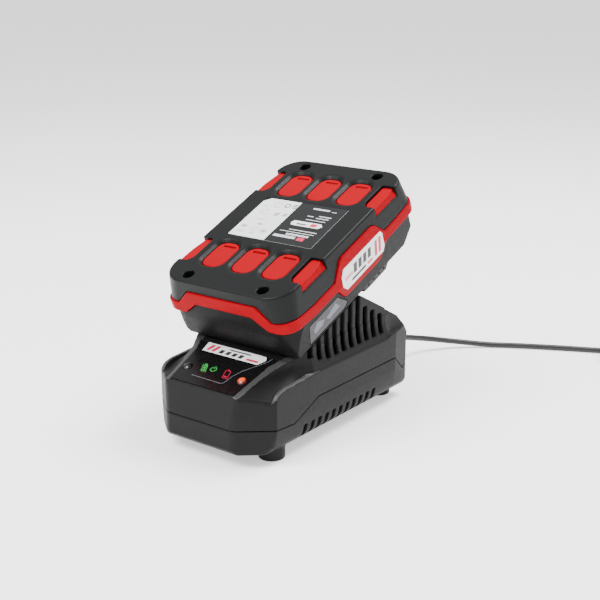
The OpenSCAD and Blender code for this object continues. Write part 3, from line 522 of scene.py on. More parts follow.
def field_piece(name, f, lo, hi, h, mat, body, replaces=(), tris=90000, to_world=None,
                keep=None):
    """A closed mesh of the field's zero surface, thinned where it is flat, with exact normals."""
    V, Q = nets(f, lo, hi, h)
    me = bpy.data.meshes.new(name)
    me.vertices.add(len(V))
    me.vertices.foreach_set("co", (V * MM).astype(np.float32).ravel())
    me.loops.add(Q.size)
    me.loops.foreach_set("vertex_index", Q.astype(np.int32).ravel())
    me.polygons.add(len(Q))
    me.polygons.foreach_set("loop_start", np.arange(0, Q.size, 4, dtype=np.int32))
    me.update(calc_edges=True)
    me.validate()
    o = bpy.data.objects.new(name, me)
    COLL.objects.link(o)
    ratio = tris / (2 * len(Q))
    if ratio < 1:
        mod = o.modifiers.new("thin", "DECIMATE")
        mod.ratio = ratio
        dg = bpy.context.evaluated_depsgraph_get()
        thin = bpy.data.meshes.new_from_object(o.evaluated_get(dg))
        o.modifiers.clear()
        o.data = thin
        me = thin
    co = np.empty(len(me.vertices) * 3, np.float32)
    me.vertices.foreach_get("co", co)
    co = co.reshape(-1, 3).astype(float) / MM
    nrm = grad(f, co, 0.05)
    nrm /= np.maximum(np.linalg.norm(nrm, axis=1), 1e-9)[:, None]
    if to_world is not None:
        tip = to_world(co + nrm)
        co2 = to_world(co)
        nrm = tip - co2
        co = co2
    me.vertices.foreach_set("co", (co * MM).astype(np.float32).ravel())
    me.update()
    me.shade_smooth()
    me.normals_split_custom_set_from_vertices([tuple(v) for v in nrm])
    me.name = name
    me.materials.clear()
    me.materials.append(MAT[mat])
    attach(o, body)
    if replaces:
        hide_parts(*replaces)
    print(name, "verts", len(me.vertices), "from", len(V))
    return o


# ------------------------------------------------------------------ charger shells
PLAN = [(-16.03, -75), (16.03, -75), (39.3, -55.5), (39.3, 53), (35.06, 75), (-35.06, 75),
        (-39.3, 53), (-39.3, -55.5)]
PROFILE = [(-67.6, 6.6), (67.6, 6.6), (70, 9.4), (70, 38.5), (65.8, 43.5), (58.9, 50.7),
           (46.2, 57.7), (45.7, 58.5), (20, 72.2), (-36, 49.1), (-36, 49.9), (-68.1, 38),
           (-70, 20), (-70, 9)]
WPLAN = [(-22.5, -83), (22.5, -83), (23.9, -68.2), (26.3, -51), (28.7, -42), (32.6, -33.7),
         (36, -26), (36, 64), (33.5, 80), (-33.5, 80), (-36, 64), (-36, -26), (-32.6, -33.7),
         (-28.7, -42), (-26.3, -51), (-23.9, -68.2)]
WAIST = [(-30.4, 1.6), (30.4, 1.6), (37.4, 10.2), (51.8, 60), (51.8, 95), (-51.8, 95),
         (-51.8, 60), (-37.4, 10.2)]
FLARE = [(-44, 25), (44, 25), (44, 39), (39.3, 39), (38.6, 42.6), (37.4, 46.4), (36.4, 50.4),
         (36, 54), (30, 60), (-30, 60), (-36, 54), (-36.4, 50.4), (-37.4, 46.4), (-38.6, 42.6),
         (-39.3, 39), (-44, 39)]


def deck_height(ax, y):
    """Top of the flanks: a sunk, outward sloping deck beside the panel, with a raised rim."""
    wall = np.interp(y, [-69, -52, -42, -34, -26], [23.4, 26.1, 28.7, 32.6, 36])
    inner = np.interp(y, [-70, -64, -54, -48, -42, -32, -26], [36.6, 38.2, 40.8, 42.8, 44.1, 46.3, 47.6])
    outer = np.interp(y, [-70, -56, -48, -40, -26, -18], [33.4, 34.6, 37.2, 38.1, 39.4, 40.9])
    t = np.clip((ax - wall) / (37.8 - wall), 0, 1)
    floor = inner + (outer - inner) * t
    rim = np.interp(y, [-70, -57.2, -54.2, -51.8, -48, -41, -33, -22, 44, 50, 70],
                    [33.4, 34.6, 38.0, 39.2, 40.1, 40.5, 41.0, 41.3, 41.3, 43.4, 43.4])
    rim = rim - np.maximum(37.0 - ax, 0) * 1.3
    return np.where(y > -18, np.maximum(rim, 41.2), np.maximum(floor, rim))


def charger_body(x, y, z):
    ax = np.abs(x)
    prof = rpoly(y, z, PROFILE, 1.0)
    deck = (z - deck_height(ax, y)) * 0.62
    wedge = rpoly(x, y, WPLAN, 1.2)
    flare = poly(x, z, FLARE) + np.maximum(-24 - y, 0) * 0.42 + np.interp(y, [46, 51], [0, 1.1])
    flare = np.maximum(flare, -34 - y)
    top = (z - np.interp(y, [-70, -68.1, -36, 20], [37.3, 38, 49.9, 72.2])) * 0.937
    drop = np.interp(y, [-69, -40, -30], [1.0, 1.0, 0.0])
    wedge = rmax(wedge, (top + drop * (1 + wedge / 3.2)) * 0.95, 0.4)
    side = rmin(rmin(deck, wedge, 0.5), flare, 0.9)
    b = rmax(prof, side, 0.6)
    b = rmax(b, poly(x, z, WAIST), 1.1)
    return rmax(b, poly(x, y, PLAN), np.interp(z, [33, 38], [1.5, 0.8]))


def seam_z(y):
    return np.interp(y, [-90, -55.5, -41, -21, 52.5, 64, 67.5, 90],
                     [20, 20, 19, 27.6, 27.6, 17.8, 20, 20])


def cyl(a, b, ca, cb, r):
    return np.hypot(a - ca, b - cb) - r


def channel(x, y, z):
    ax = np.abs(x)
    u, n = bat_local(y, z)
    wide = np.maximum(np.maximum(ax - 24.4, slab(n, -57.4, -44.2)), slab(u, -46.3, 60))
    neck = np.maximum(np.maximum(ax - 19.4, slab(n, -50, -30)), slab(u, -46.3, 60))
    return np.minimum(wide, neck)


def side_vents(y, z):
    v = None
    for i in range(10):
        yc = -24 + i * 7.15
        low = (48.4, 45.8)[i] if i < 2 else 44.6
        top = 95 if i < 7 else 72.2 - (yc + 1.95 - 20) * 0.533 - 3.8
        b = rbox2(y, z, yc, (low + top) / 2, 1.95, (top - low) / 2, 1.2)
        v = b if v is None else np.minimum(v, b)
    return v


PANEL = [(-21.12, 0.68), (21.12, 0.68), (23.92, 26), (26.52, 32.72), (-26.52, 32.72), (-23.92, 26)]


def upper_field(x, y, z):
    ax = np.abs(x)
    b = charger_body(x, y, z)
    f = np.maximum(b, -(b + 2.4))
    f = rmax(f, (seam_z(y) + 0.175 - z) / 1.05, 0.35)
    u, n = bat_local(y, z)
    walls = np.maximum(np.maximum(ax - 26.6, slab(n, -59.6, -42.6)), slab(u, -48.5, 31.5))
    f = np.minimum(f, np.maximum(walls, b + 0.3))
    posts = np.minimum(np.maximum(cyl(ax, y, 28.4, -46.4, 4.4), 20 - z),
                       np.maximum(cyl(ax, y, 28.4, 46.4, 4.4), 27.9 - z))
    f = np.minimum(f, np.maximum(posts, b + 1))
    v, w = pan_local(y, z)
    pegs = np.minimum(np.maximum(cyl(ax, v, 9, 12, 2.3), slab(w, -8.9, -1)),
                      np.maximum(cyl(ax, v, 9, 12, 1.0), slab(w, -10.6, -1)))
    f = np.minimum(f, pegs)
    f = cut(f, channel(x, y, z), 0.4)
    f = cut(f, np.maximum(side_vents(y, z), 33.4 - ax), 0.55)
    f = cut(f, np.maximum(poly(x, v, PANEL), -0.6 - w), 0.2)
    f = cut(f, np.maximum(cyl(ax, v, 18.2, 11.8, 2.75), slab(w, -6, 6)), 0.2)
    f = cut(f, np.maximum(np.maximum(ax - 17.4, slab(u, -51.3, -45.3)), slab(n, -56.2, -45.8)), 0.2)
    f = cut(f, np.maximum(cyl(ax, y, 28.4, -46.4, 1.55), z - 31), 0.2)
    f = cut(f, np.maximum(cyl(ax, y, 28.4, 46.4, 1.55), z - 44), 0.2)
    return cut(f, np.maximum(cyl(x, z, 0, 20, 3.95), slab(y, 64, 80)), 0.3)


def lower_field(x, y, z):
    ax, ay = np.abs(x), np.abs(y)
    b = charger_body(x, y, z)
    f = np.maximum(b, -(b + 2.4))
    f = rmax(f, (z - seam_z(y) + 0.175) / 1.05, 0.35)
    lip = np.maximum(np.maximum(b + 2.58, -(b + 3.75)), slab(z - seam_z(y), -3, 2.4))
    f = np.minimum(f, np.maximum(lip, y - 66.5))
    feet = np.minimum(cyl(ax, y, 28.4, -46.4, 7.0), cyl(ax, y, 22, 61.6, 7.0))
    feet = rmax(feet, slab(z, 0, 16), 0.9)
    f = rmin(f, np.maximum(feet, b - 9), 0.7)
    tall = np.where(y < 0, 17.5, 25.5)
    f = np.minimum(f, np.maximum(cyl(ax, ay, 28.4, 46.4, 4.8), slab(z, 6, tall)))
    f = np.minimum(f, np.maximum(cyl(ax, ay, 30, 35, 3.0), slab(z, 9, 14)))
    f = np.minimum(f, np.maximum(np.maximum(rbox2(x, y, 0, 59, 14, 5, 0.6), slab(z, 9, 17.9)), b + 1.4))
    vents = None
    for i in range(11):
        v = rbox2(y, z, -30.6 + i * 6.3, 11.6, 1.45, 3.7, 0.6)
        vents = v if vents is None else np.minimum(vents, v)
    f = cut(f, np.maximum(vents, slab(ax, 34, 43)), 0.4)
    f = cut(f, np.maximum(cyl(ax, ay, 28.4, 46.4, 3.3), z - 14), 0.4)
    f = cut(f, np.maximum(cyl(ax, ay, 28.4, 46.4, 1.7), z - 40), 0.2)
    f = cut(f, np.maximum(cyl(x, z, 0, 20, 3.95), slab(y, 64, 80)), 0.3)
    return cut(f, np.maximum(cyl(x, z, 0, 20, 1.9), slab(y, 40, 80)), 0.2)


upper = field_piece("upper_shell", upper_field, (-39.3, -70, 19), (39.3, 70, 72.2), 0.5,
                    "housing", "charger", ("upper_housing",), 130000)
lower = field_piece("lower_shell", lower_field, (-39.3, -70, 0), (39.3, 70, 30), 0.5,
                    "housing", "charger", ("lower_housing",), 90000)

# ------------------------------------------------------------------ battery shells, in the battery's frame
def side_plane(x, n):
    return 0.9766 * (np.abs(x) - 41.3) - 0.2152 * (n + 21.4)


def front_plane(u, n):
    return (-17.2 * (u + 61.2) - 5 * (n + 21.8)) / 17.91


def bat_body(x, u, n):
    corner = np.interp(n, [-22, -20, -14.5, 0], [13, 10, 9.8, 14.5])
    p = rbox2(x, u, 0, 0.25, 41.3, 61.45, corner) + np.maximum(n + 14, 0) * 0.057
    f = rmax(np.maximum(p, side_plane(x, n)), n, 1.2)
    rear = (1.9 * (u - 61.7) - 1.5 * (n + 25.1)) / 2.42
    r1 = (10 * (u - 60.2) - 8.2 * (n + 27)) / 12.93
    r2 = ((u - 52) - (n + 37)) / 1.4142
    low = rmax(rmax(front_plane(u, n), np.maximum(r1, rear), 1.0), rmax(r2, -40 - n, 1.2), 1.2)
    return rmax(f, low, 1.2)


def band_body(x, u, n):
    """Outside of the band, squarer at the corners than the shells."""
    p = rbox2(x, u, 0, 0.25, 42.0, 62.15, 9.0)
    return np.maximum(np.maximum(p, side_plane(x, n) - 0.7), front_plane(u, n) - 0.7)


def band_lines(x, u, g):
    """Heights of the band's upper and lower edge, moved apart by g: it steps up across the ends."""
    ax = np.abs(x)
    hi = np.interp(u, [-62, -56, -40, 36, 62], [-14.3, -14.6, -16.4, -16.2, -14.9])
    end = np.abs(u - 0.25) > 44
    t1 = np.clip((ax - 22.6 - g) / 8.2, 0, 1)
    t2 = np.clip((ax - 18.4 + g) / 9.2, 0, 1)
    top = np.where(end, -6.4 + (hi + 6.4) * t1, hi) + g
    low = np.where(end, -13.3 + (hi - 5.9 + 13.3) * t2, hi - 5.9) - g
    k = np.where(end & (ax > 18) & (ax < 31.5), 0.74, 1.0)
    return top, low, k


FRAME_PTS = [(-20, -15.5), (-13.2, -8.2), (-10.6, -6.9), (18.7, -6.9), (21.6, -8.3),
             (28.2, -15.5), (29.6, -21.2), (27, -24.6), (22.9, -30.2), (20.2, -31.2),
             (-11.2, -31.2), (-13.4, -30.3), (-20.4, -21.2)]
BADGE = [(-14.75, -17), (-15.15, -22.9), (-12.6, -25.85), (23.5, -25.85), (25.55, -23.3),
         (25.75, -15.5), (24.3, -13.35), (-12.1, -13.35)]
STICKER = [(-46, -38.2), (-13.4, -38.2), (-10.1, -35.7), (-19.6, -25.7), (-46, -25.7)]
OVAL_U = (-32.7, 37)
POST_U = (54.3, 0.1)


def badge_frame(x, u, n, g):
    return np.maximum(rpoly(u, n, FRAME_PTS[::-1], 0.9) - g, 36 - np.abs(x))


def band_zone(x, u, n, g=0.0):
    top, low, k = band_lines(x, u, g)
    return rmin(np.maximum(n - top, low - n) * k, badge_frame(x, u, n, g), 0.4)


def ovals(x, u, hw, hl):
    """Distance to the six oval outlines."""
    d = None
    for cu in OVAL_U:
        for cx in (0, 20):
            q = rbox2(np.abs(x), u, cx, cu, hw, hl, 5.6)
            d = q if d is None else np.minimum(d, q)
    return d


WINDOW = [(32.7, -7.4), (34.9, -10.8), (47, -10.8), (47, 10.2), (32.7, 10.2)]


def windows(x, u, g):
    """Distance to the outlines of the corner windows, which cross the side edges."""
    return rpoly(np.abs(x), u - np.where(u < 2, -32.7, 37.0), WINDOW, 1.8) - g


def posts(x, u, r):
    return np.hypot(np.abs(x) - 24.6, np.abs(u - 0.1) - 54.3) - r


def cover_field(x, u, n):
    b = bat_body(x, u, n)
    f = np.maximum(b, -(b + 2.2))
    top, low, k = band_lines(x, u, 0.15)
    f = rmax(f, (top - n) * k, 0.35)
    f = cut(f, badge_frame(x, u, n, 0.15), 0.35)
    ov = ovals(x, u, 7.15, 11)
    f = cut(f, np.maximum((ov - 2.0 - 1.15 * n) / 1.52, n - 4), 0.6)
    f = cut(f, np.maximum(ov, slab(n, -5.7, 4)), 0.25)
    f = cut(f, np.maximum(windows(x, u, 0.2), slab(n, -5.7, 4)), 0.5)
    f = cut(f, np.maximum(rbox2(x, u, 0.25, 2.0, 27.85, 18.6, 1.0), -0.4 - n), 0.15)
    f = np.minimum(f, np.maximum(posts(x, u, 4.6), slab(n, -14, -1)))
    f = cut(f, np.maximum(posts(x, u, 3.25), slab(n, -12, 4)), 0.5)
    return cut(f, np.maximum(posts(x, u, 1.7), slab(n, -20, 4)), 0.2)


def band_field(x, u, n):
    ax = np.abs(x)
    b = bat_body(x, u, n)
    f = rmax(rmax(band_body(x, u, n), band_zone(x, u, n, 0.0), 0.55), -(b + 2.4), 0.3)
    tray = np.maximum(np.maximum(b + 2.35, -(b + 4.2)), slab(n, -16.2, -1))
    skirt = np.maximum(np.maximum(np.maximum(b + 2.35, -(b + 4.2)), slab(n, -21.3, -11.3)),
                       np.abs(u) - 45)
    tie = np.maximum(np.maximum(np.maximum(b + 2.1, -(b + 4.2)), slab(n, -19.4, -16.6)),
                     np.abs(u) - 45)
    f = np.minimum(np.minimum(f, tray), np.minimum(skirt, tie))
    pads = rmax(ovals(x, u, 6.95, 10.8), slab(n, -3.0, -1.5), 0.5)
    edge = 38.4 + (10 - (u - np.where(u < 2, -32.7, 37.0))) * 0.147
    facet = (ax - edge + 0.55 * (n + 1.5)) / 1.15
    corner = rmax(rmax(rmax(b + 0.35, n + 1.5, 0.3), facet, 0.35), windows(x, u, 0), 0.4)
    corner = np.maximum(np.maximum(corner, -5.55 - n), -(b + 4.2))
    pads = np.minimum(pads, corner)
    notch = None
    for cu in OVAL_U:
        for cx in (-20, 0, 20):
            q = rbox2(x, u, cx + 0.6, cu + 7.35, 4, 0.75, 0.4)
            notch = q if notch is None else np.minimum(notch, q)
    f = np.minimum(f, cut(pads, np.maximum(notch, -2.4 - n), 0.2))
    f = cut(f, np.maximum(posts(x, u, 4.9), slab(n, -30, 4)), 0.2)
    return cut(f, np.maximum(poly(u, n, BADGE), 41.6 - ax), 0.2)


def base_field(x, u, n):
    ax = np.abs(x)
    b = bat_body(x, u, n)
    f = np.maximum(b, -(b + 2.2))
    top, low, k = band_lines(x, u, 0.15)
    f = rmax(f, (n - low) * k, 0.35)
    f = cut(f, badge_frame(x, u, n, 0.15), 0.35)
    neck = np.maximum(np.maximum(ax - 19, slab(n, -45, -37)), slab(u, -46, 2))
    rail = rmax(rmax(ax - 24, slab(n, -57, -44.6), 0.7), slab(u, -46, 2), 0.7)
    f = np.minimum(f, np.minimum(neck, rail))
    hollow = np.maximum(np.maximum(ax - 16, slab(n, -54.8, -24.8)), slab(u, -43.6, -0.6))
    f = cut(f, hollow, 0.3)
    f = np.minimum(f, np.maximum(np.maximum(posts(x, u, 3.8), slab(n, -39, -14.2)), b + 1))
    bar = np.maximum(np.maximum(ax - 33.4, slab(u, 24.5, 30.5)), slab(n, -29.6, -28))
    legs = np.maximum(np.maximum(slab(ax, 31, 33.4), slab(u, 24.5, 30.5)), slab(n, -39, -28))
    f = np.minimum(f, np.minimum(bar, legs))
    for i in range(-2, 3):
        f = cut(f, np.maximum(np.maximum(np.abs(x - i * 6) - 0.9, slab(u, -48, -42)),
                              slab(n, -54.7, -46.3)), 0.2)
    f = cut(f, np.maximum(np.maximum(posts(x, u, 1.55), slab(n, -32, -10)), b + 1.4), 0.2)
    f = cut(f, np.maximum(np.maximum(ax - 29.0, slab(u, 11.6, 43.4)), slab(n, -44, -36)), 0.35)
    f = cut(f, np.maximum(np.maximum(ax - 7.4, slab(u, 4.6, 12.6)), slab(n, -44, -36)), 0.3)
    for i in range(3):
        f = cut(f, np.maximum(rbox2(x, n, 0.3 + i * 4.8, -20.5, 2.1, 2.2, 0.3), slab(u, 56, 66)), 0.3)
    f = cut(f, np.maximum(np.hypot(x + 9, n + 20.5) - 3.2, slab(u, 53, 66)), 0.3)
    sticker = np.maximum(poly(u, n, STICKER), -(side_plane(x, n) + 0.36))
    return cut(f, np.maximum(sticker, 30 - x), 0.12)


REL = [(12, -36.2), (12, -46.5), (16.8, -51.4), (20, -52), (39.5, -52), (43, -49), (43, -36.2)]


def release_field(x, u, n):
    ax = np.abs(x)
    f = rmax(rpoly(u, n, REL, 0.6), ax - 28.6, 1.6)
    ribs = None
    for i in range(7):
        q = rbox2(u, n, 19.5 + i * 2.9 + 0.65, -52.4, 0.75, 1.15, 0.4)
        ribs = q if ribs is None else np.minimum(ribs, q)
    f = cut(f, ribs, 0.3)
    side = None
    for i in range(5):
        q = rbox2(u, n, 15.5 + i * 5.4, -44.5, 1.0, 4.6, 0.5)
        side = q if side is None else np.minimum(side, q)
    f = cut(f, np.maximum(side, 27.7 - ax), 0.3)
    flange = rmax(rbox2(x, u, 0, 27.5, 30.4, 17.3, 1.5), slab(n, -37.5, -36.1), 0.3)
    f = np.minimum(f, flange)
    tongue = rmax(rpoly(u, n, [(5, -36.4), (5, -42), (10, -44.6), (13, -44.6), (13, -36.4)], 0.3),
                  ax - 7, 0.4)
    f = np.minimum(f, tongue)
    hollow = np.maximum(rpoly(u, n, [(14, -30), (14, -45.5), (18, -49.2), (39, -49.2), (41, -47.5),
                                     (41, -30)], 0.4), ax - 26.4)
    peg = np.maximum(np.hypot(ax - 16, u - 27.5) - 2, slab(n, -50, -44))
    return np.maximum(f, -np.maximum(hollow, -peg))


cover = field_piece("cover_shell", cover_field, (-41.4, -61.3, -18), (41.4, 61.8, 0), 0.5,
                    "cover", "battery", ("battery_cover",), 110000, bat_to_world)
band = field_piece("band_frame", band_field, (-42.1, -62, -32), (42.1, 62.5, -0.5), 0.5,
                   "red", "battery", ("battery_mid_frame",), 120000, bat_to_world)
base = field_piece("base_shell", base_field, (-41.4, -61.3, -57), (41.4, 61.8, -13), 0.5,
                   "base", "battery", ("battery_base",), 110000,
                   bat_to_world)
release = field_piece("release_grip", release_field, (-30.4, 5, -52), (30.4, 44.8, -36), 0.45,
                      "release", "release_button", ("release_button",), 50000,
                      bat_to_world)

# ------------------------------------------------------------------ painted highlights on the edge strips
def paint_edge_highlights(piece):
    """Painted highlight: a lighter, smoother copy of the housing plastic on the up-facing strips beside the
    panel and on the rims of the decks, in place of the highlights they catch.
    """
    me = piece.data
    me.materials.append(MAT["painted_highlight"])
    n = len(me.polygons)
    c, q = np.empty(n * 3, np.float32), np.empty(n * 3, np.float32)
    me.polygons.foreach_get("center", c)
    me.polygons.foreach_get("normal", q)
    c, q = c.reshape(-1, 3).astype(float) / MM, q.reshape(-1, 3)
    ax, y, z = np.abs(c[:, 0]), c[:, 1], c[:, 2]
    top = z - np.interp(y, [-70, -68.1, -36, 20], [37.3, 38, 49.9, 72.2])
    edge = np.interp(y, [-67.5, -43.7, -37.4, -30], [21.2, 24.0, 26.6, 29.5])
    wall = np.interp(y, [-69, -52, -42, -34, -26], [23.4, 26.1, 28.7, 32.6, 36])
    strip = ((y < -31.5) & (y > -68.6) & (ax > edge) & (ax < wall + 0.4) & (top > -1.5)
             & (q[:, 2] > 0.6))
    rim = np.interp(y, [-58, -57.2, -54.2, -51.8, -48, -41, -33, -22],
                    [34.0, 34.6, 38.0, 39.2, 40.1, 40.5, 41.0, 41.3])
    rim = (y > -58) & (y < -20) & (ax > 36.95) & (z > rim - 0.9) & (q[:, 2] > 0.3)
    rim = rim & (z < 41.45)
    # painted highlight: the up-facing strip and rim faces take the second, lighter material
    me.polygons.foreach_set("material_index", (strip | rim).astype(np.int32))
    me.update()
    print("satin faces", int(strip.sum()), int(rim.sum()))


paint_edge_highlights(upper)


# ------------------------------------------------------------------ release springs
def coil_springs():
    """Two compression springs over the button's pegs, with closed end turns."""
    bm = bmesh.new()
    steps, turns, wire, r = 28, 7, 0.4, 3.0
    lift = np.interp(np.linspace(0, turns, steps * turns + 1), [0, 1, turns - 1, turns],
                     [-48.78, -47.96, -31.4, -30.58])
    for sx in (-1, 1):
        rings = []
        for i, n in enumerate(lift):
            a = 2 * math.pi * i / steps
            ring_v = []
            for k in range(10):
                t = 2 * math.pi * k / 10
                rr = r + wire * math.cos(t)
                w = bat_to_world(np.array([[sx * 16 + rr * math.cos(a), 27.5 + rr * math.sin(a),
                                            n + wire * math.sin(t)]]))[0]
                ring_v.append(bm.verts.new(tuple(w * MM)))
            rings.append(ring_v)
        for p0, p1 in zip(rings, rings[1:]):
            for k in range(10):
                bm.faces.new((p0[k], p0[(k + 1) % 10], p1[(k + 1) % 10], p1[k]))
        bm.faces.new(rings[0][::-1])
        bm.faces.new(rings[-1])
    bmesh.ops.recalc_face_normals(bm, faces=bm.faces)
    me = bpy.data.meshes.new("release_springs")
    bm.to_mesh(me)
    bm.free()
    me.shade_smooth()
    return link("release_springs", me, "spring", "battery", ("latch_springs",))


springs = coil_springs()
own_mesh(springs)


# ------------------------------------------------------------------ printed areas, without any lettering
def prints(name, shapes, place, h, mat, body, t=0.03):
    """Thin flat shapes, given in a surface's own coordinates, lying h above it."""
    bm = bmesh.new()
    for pts in shapes:
        low = [bm.verts.new([c * MM for c in place(a, b, h)]) for a, b in pts]
        top = [bm.verts.new([c * MM for c in place(a, b, h + t)]) for a, b in pts]
        bm.faces.new(low)
        bm.faces.new(top)
        for i in range(len(pts)):
            j = (i + 1) % len(pts)
            bm.faces.new((low[i], low[j], top[j], top[i]))
    bmesh.ops.recalc_face_normals(bm, faces=bm.faces)
    me = bpy.data.meshes.new(name)
    bm.to_mesh(me)
    bm.free()
    return link(name, me, mat, body)


def on_panel(x, v, w):
    return x, -68.1 + v * PC - (w + 0.055) * PS, 38 + v * PS + (w + 0.055) * PC


def on_label(x, u, h):
    n = h - 0.015
    return x, 2.3 + u * BC - n * BS, 109.2 + u * BS + n * BC


def on_side(sign):
    def place(u, n, h):
        return sign * (42.06 + h), 2.3 + u * BC - n * BS, 109.2 + u * BS + n * BC
    return place


def on_sticker(u, n, h):
    x = 37.2 + (n + 40) * 4.1 / 18.7 + h
    return x, 2.3 + u * BC - n * BS, 109.2 + u * BS + n * BC


def bar(x0, x1, u0, u1, lean=0.0):
    return [(x0, u0), (x1, u0), (x1 + lean, u1), (x0 + lean, u1)]


def ring(cx, cy, r, w, a0=0.0, a1=360.0, n=20):
    """Open band along an arc."""
    t = [math.radians(a0 + (a1 - a0) * i / n) for i in range(n + 1)]
    return ([(cx + r * math.cos(q), cy + r * math.sin(q)) for q in t]
            + [(cx + (r - w) * math.cos(q), cy + (r - w) * math.sin(q)) for q in reversed(t)])


def stroke(pts, w):
    """Line of width w, mitred at its corners."""
    n = len(pts)
    left, rite = [], []
    for i in range(n):
        a, b = pts[max(i - 1, 0)], pts[min(i + 1, n - 1)]
        dx, dy = b[0] - a[0], b[1] - a[1]
        k = w / 2 / math.hypot(dx, dy)
        left.append((pts[i][0] - dy * k, pts[i][1] + dx * k))
        rite.append((pts[i][0] + dy * k, pts[i][1] - dx * k))
    return left + rite[::-1]


# control panel
prints("panel_badge", [[(-19.8, 25.6), (17.4, 25.4), (20.2, 29.6), (18.9, 32.2), (15.2, 32.5),
                        (-20.6, 32.5)]], on_panel, 0.0, "badge", "charger")
prints("panel_badge_dark", [bar(-9.6 + i * 4.3, -6.9 + i * 4.3, 26.6, 29.4, 0.7) for i in range(4)]
       + [bar(-4.8, 9.6, 30.4, 31.3)], on_panel, 0.035, "print_black", "charger")
prints("panel_badge_red", [bar(-18.2, -15.9, 26.6, 31.4, 1.6), bar(-14.6, -12.3, 26.6, 31.4, 1.6),
                           bar(8.8, 16.6, 26.5, 28.0, 0.6)], on_panel, 0.035, "print_red", "charger")
prints("panel_battery_green", [
    stroke([(-8.6, 11.0), (-5.7, 11.0), (-7.9, 16.0), (-10.8, 16.0), (-8.75, 11.35)], 0.45),
    bar(-9.9, -8.4, 16.2, 16.9, -0.2), bar(-8.25, -6.5, 11.7, 12.7, -0.45),
    bar(-8.85, -7.1, 13.2, 14.2, -0.45), bar(-9.45, -7.7, 14.7, 15.6, -0.4)],
    on_panel, 0.0, "icon_green", "charger")
prints("panel_power_green", [ring(-2.7, 14.4, 1.9, 0.5, 115, 425), bar(-2.9, -2.45, 14.6, 16.9)],
       on_panel, 0.0, "icon_green", "charger")
prints("panel_battery_red", [
    stroke([(6.2, 10.4), (9.4, 10.4), (7.7, 16.0), (4.5, 16.0), (6.1, 10.75)], 0.5),
    bar(5.3, 6.9, 16.2, 16.9, -0.2), bar(6.6, 8.5, 11.1, 12.1, -0.35)],
    on_panel, 0.0, "icon_red", "charger")
prints("panel_outline", [stroke([(-11.4, 6.7), (8.4, 6.3), (9.8, 7.2), (11.0, 13.4), (13.5, 18.8),
                                 (17.9, 24.2), (22.0, 29.4), (22.6, 32.4)], 0.3)],
       on_panel, 0.0, "line_grey", "charger")

# rating label: a white field with faint marks, a dark field with bars for lines of print
prints("label_dark_field", [[(-2.9, -16.34), (27.83, -16.34), (27.83, 20.34), (-2.9, 20.34)]],
       on_label, 0.0, "label_dark", "battery")
prints("label_bars", [bar(7.2, 18.0, 16.2, 17.5), bar(19.6, 22.8, 15.9, 16.4),
                      bar(14.8, 22.8, 10.6, 11.3), bar(8.0, 12.0, 9.4, 10.1),
                      bar(14.0, 22.2, 8.6, 9.3), bar(9.0, 21.6, 6.4, 6.9),
                      bar(5.2, 23.0, -4.0, -3.4), bar(0.4, 22.6, -6.0, -5.5),
                      bar(6.0, 20.6, -8.6, -7.2), bar(-0.6, 13.6, -11.4, -9.4)],
       on_label, 0.035, "print_pale", "battery")
prints("label_pill", [[(3.4, 0.2), (20.8, 0.2), (22.6, 2.3), (20.8, 4.4), (3.4, 4.4), (2.2, 2.3)]],
       on_label, 0.035, "label", "battery")
prints("label_pink", [bar(14.8, 18.8, 1.0, 3.6, 0.4), bar(15.0, 19.6, -12.2, -9.4)],
       on_label, 0.07, "print_red", "battery")
prints("label_pill_dark", [bar(6.2, 12.8, 1.4, 2.4)], on_label, 0.07, "print_black", "battery")
prints("label_marks", [ring(-9.4, 15.6, 1.9, 0.55, 0, 350, 16), bar(-6.2, -3.2, 14.2, 14.8),
                       bar(-6.2, -3.2, 15.6, 16.2), bar(-6.2, -3.2, 17.0, 17.6)],
       on_label, 0.035, "print_black", "battery")
prints("label_faint", [ring(-15.6, 15.2, 2.6, 0.3, 0, 350), ring(-19.6, 7.4, 2.4, 0.3, 0, 350),
                       bar(-24.6, -20.2, 12.6, 13.0), bar(-12.4, -9.8, 5.4, 8.4, 0.6),
                       bar(-7.2, -4.4, 6.0, 8.6, 0.3), bar(-20.4, -14.4, 0.6, 1.0),
                       bar(-24.6, -21.2, -8.6, -6.2),
                       ring(-14.6, -8.6, 1.9, 0.3, 0, 350), ring(-8.6, -9.2, 2.2, 0.3, 0, 350),
                       bar(-9.8, -7.4, -10.2, -8.4, 0.3), bar(-16.2, -13.0, -4.4, -3.0),
                       bar(-24.8, -19.8, -11.6, -11.2), bar(-24.8, -19.8, -12.8, -12.4),
                       bar(-15.8, -12.6, -12.6, -12.1)],
       on_label, 0.035, "print_grey", "battery")

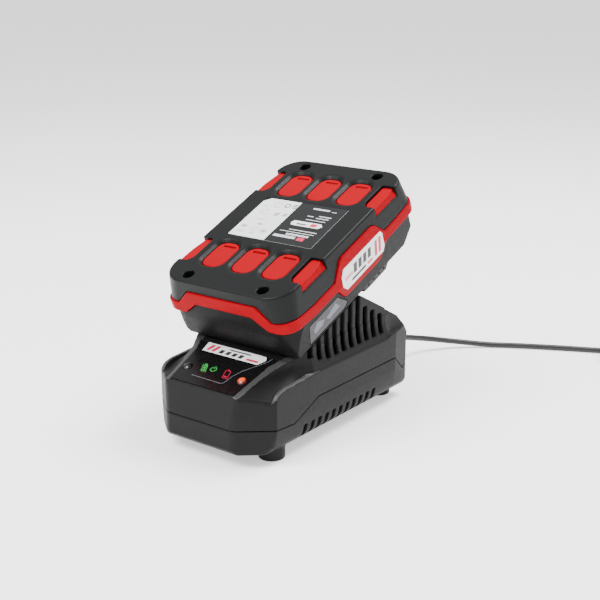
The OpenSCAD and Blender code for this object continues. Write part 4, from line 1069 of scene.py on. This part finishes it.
# side badges: slanted bars
for tag, sign in (("right", 1), ("left", -1)):
    place = on_side(sign)
    prints("badge_dark_" + tag, [bar(-4.6 + i * 4.6, -1.5 + i * 4.6, -20.9, -16.0, 1.5)
                                 for i in range(4)]
           + [bar(-7.4, 6.2, -23.9, -22.6, 0.4)], place, 0.0, "print_black", "battery")
    prints("badge_red_" + tag, [bar(-12.6 + i * 1.9, -11.5 + i * 1.9, -20.6, -18.6, 0.6)
                                for i in range(4)]
           + [bar(15.4, 17.8, -23.8, -15.6, 2.2), bar(19.4, 21.6, -23.8, -15.6, 2.2),
              bar(8.0, 12.8, -23.9, -22.6, 0.4)], place, 0.0, "print_red", "battery")
prints("sticker_prints", [[(-22, -28.3), (-18.1, -33.1), (-28.1, -34.2), (-30.8, -31.5)],
                          [(-38.9, -28), (-32.6, -30.9), (-34.3, -33.5), (-41.1, -34.3),
                           (-42, -31.5)]], on_sticker, 0.005, "sticker_print", "battery")

# ------------------------------------------------------------------ stage
floor_me = bpy.data.meshes.new("floor")
fbm = bmesh.new()
bmesh.ops.create_grid(fbm, x_segments=2, y_segments=2, size=6)
fbm.to_mesh(floor_me)
fbm.free()
fm, fnt, fb = new_mat("floor_white")
fn = noise(fnt, 8, 3, 0.5)
fnt.links.new(ramp(fnt, fn.outputs["Fac"], [(0.3, (0.94, 0.94, 0.94)), (0.7, (0.955, 0.955, 0.955))]),
              fb.inputs["Base Color"])
fb.inputs["Roughness"].default_value = 0.9
fb.inputs["Emission Color"].default_value = (1, 1, 1, 1)
fb.inputs["Emission Strength"].default_value = 0.7
fb.inputs["Specular IOR Level"].default_value = 0.1
floor_me.materials.append(fm)
floor = bpy.data.objects.new("floor", floor_me)
COLL.objects.link(floor)

world = bpy.data.worlds.new("studio")
world.use_nodes = True
bg = world.node_tree.nodes["Background"]
bg.inputs[0].default_value = (1, 1, 1, 1)
bg.inputs[1].default_value = 0.95
bpy.context.scene.world = world


def area(name, loc, target, size, power, color=(1, 1, 1), size_y=None):
    d = bpy.data.lights.new(name, "AREA")
    d.energy = power
    d.color = color
    d.shape = "RECTANGLE"
    d.size = size
    d.size_y = size_y or size
    o = bpy.data.objects.new(name, d)
    COLL.objects.link(o)
    o.location = loc
    o.rotation_mode = "QUATERNION"
    o.rotation_quaternion = (Vector(target) - Vector(loc)).to_track_quat("-Z", "Y")
    return o


area("key", (-0.35, -0.70, 1.05), (0, 0, 0.06), 0.6, 24)
area("rim", (0.26, 0.40, 1.0), (0, 0, 0.05), 0.5, 20)

bpy.context.view_layer.update()
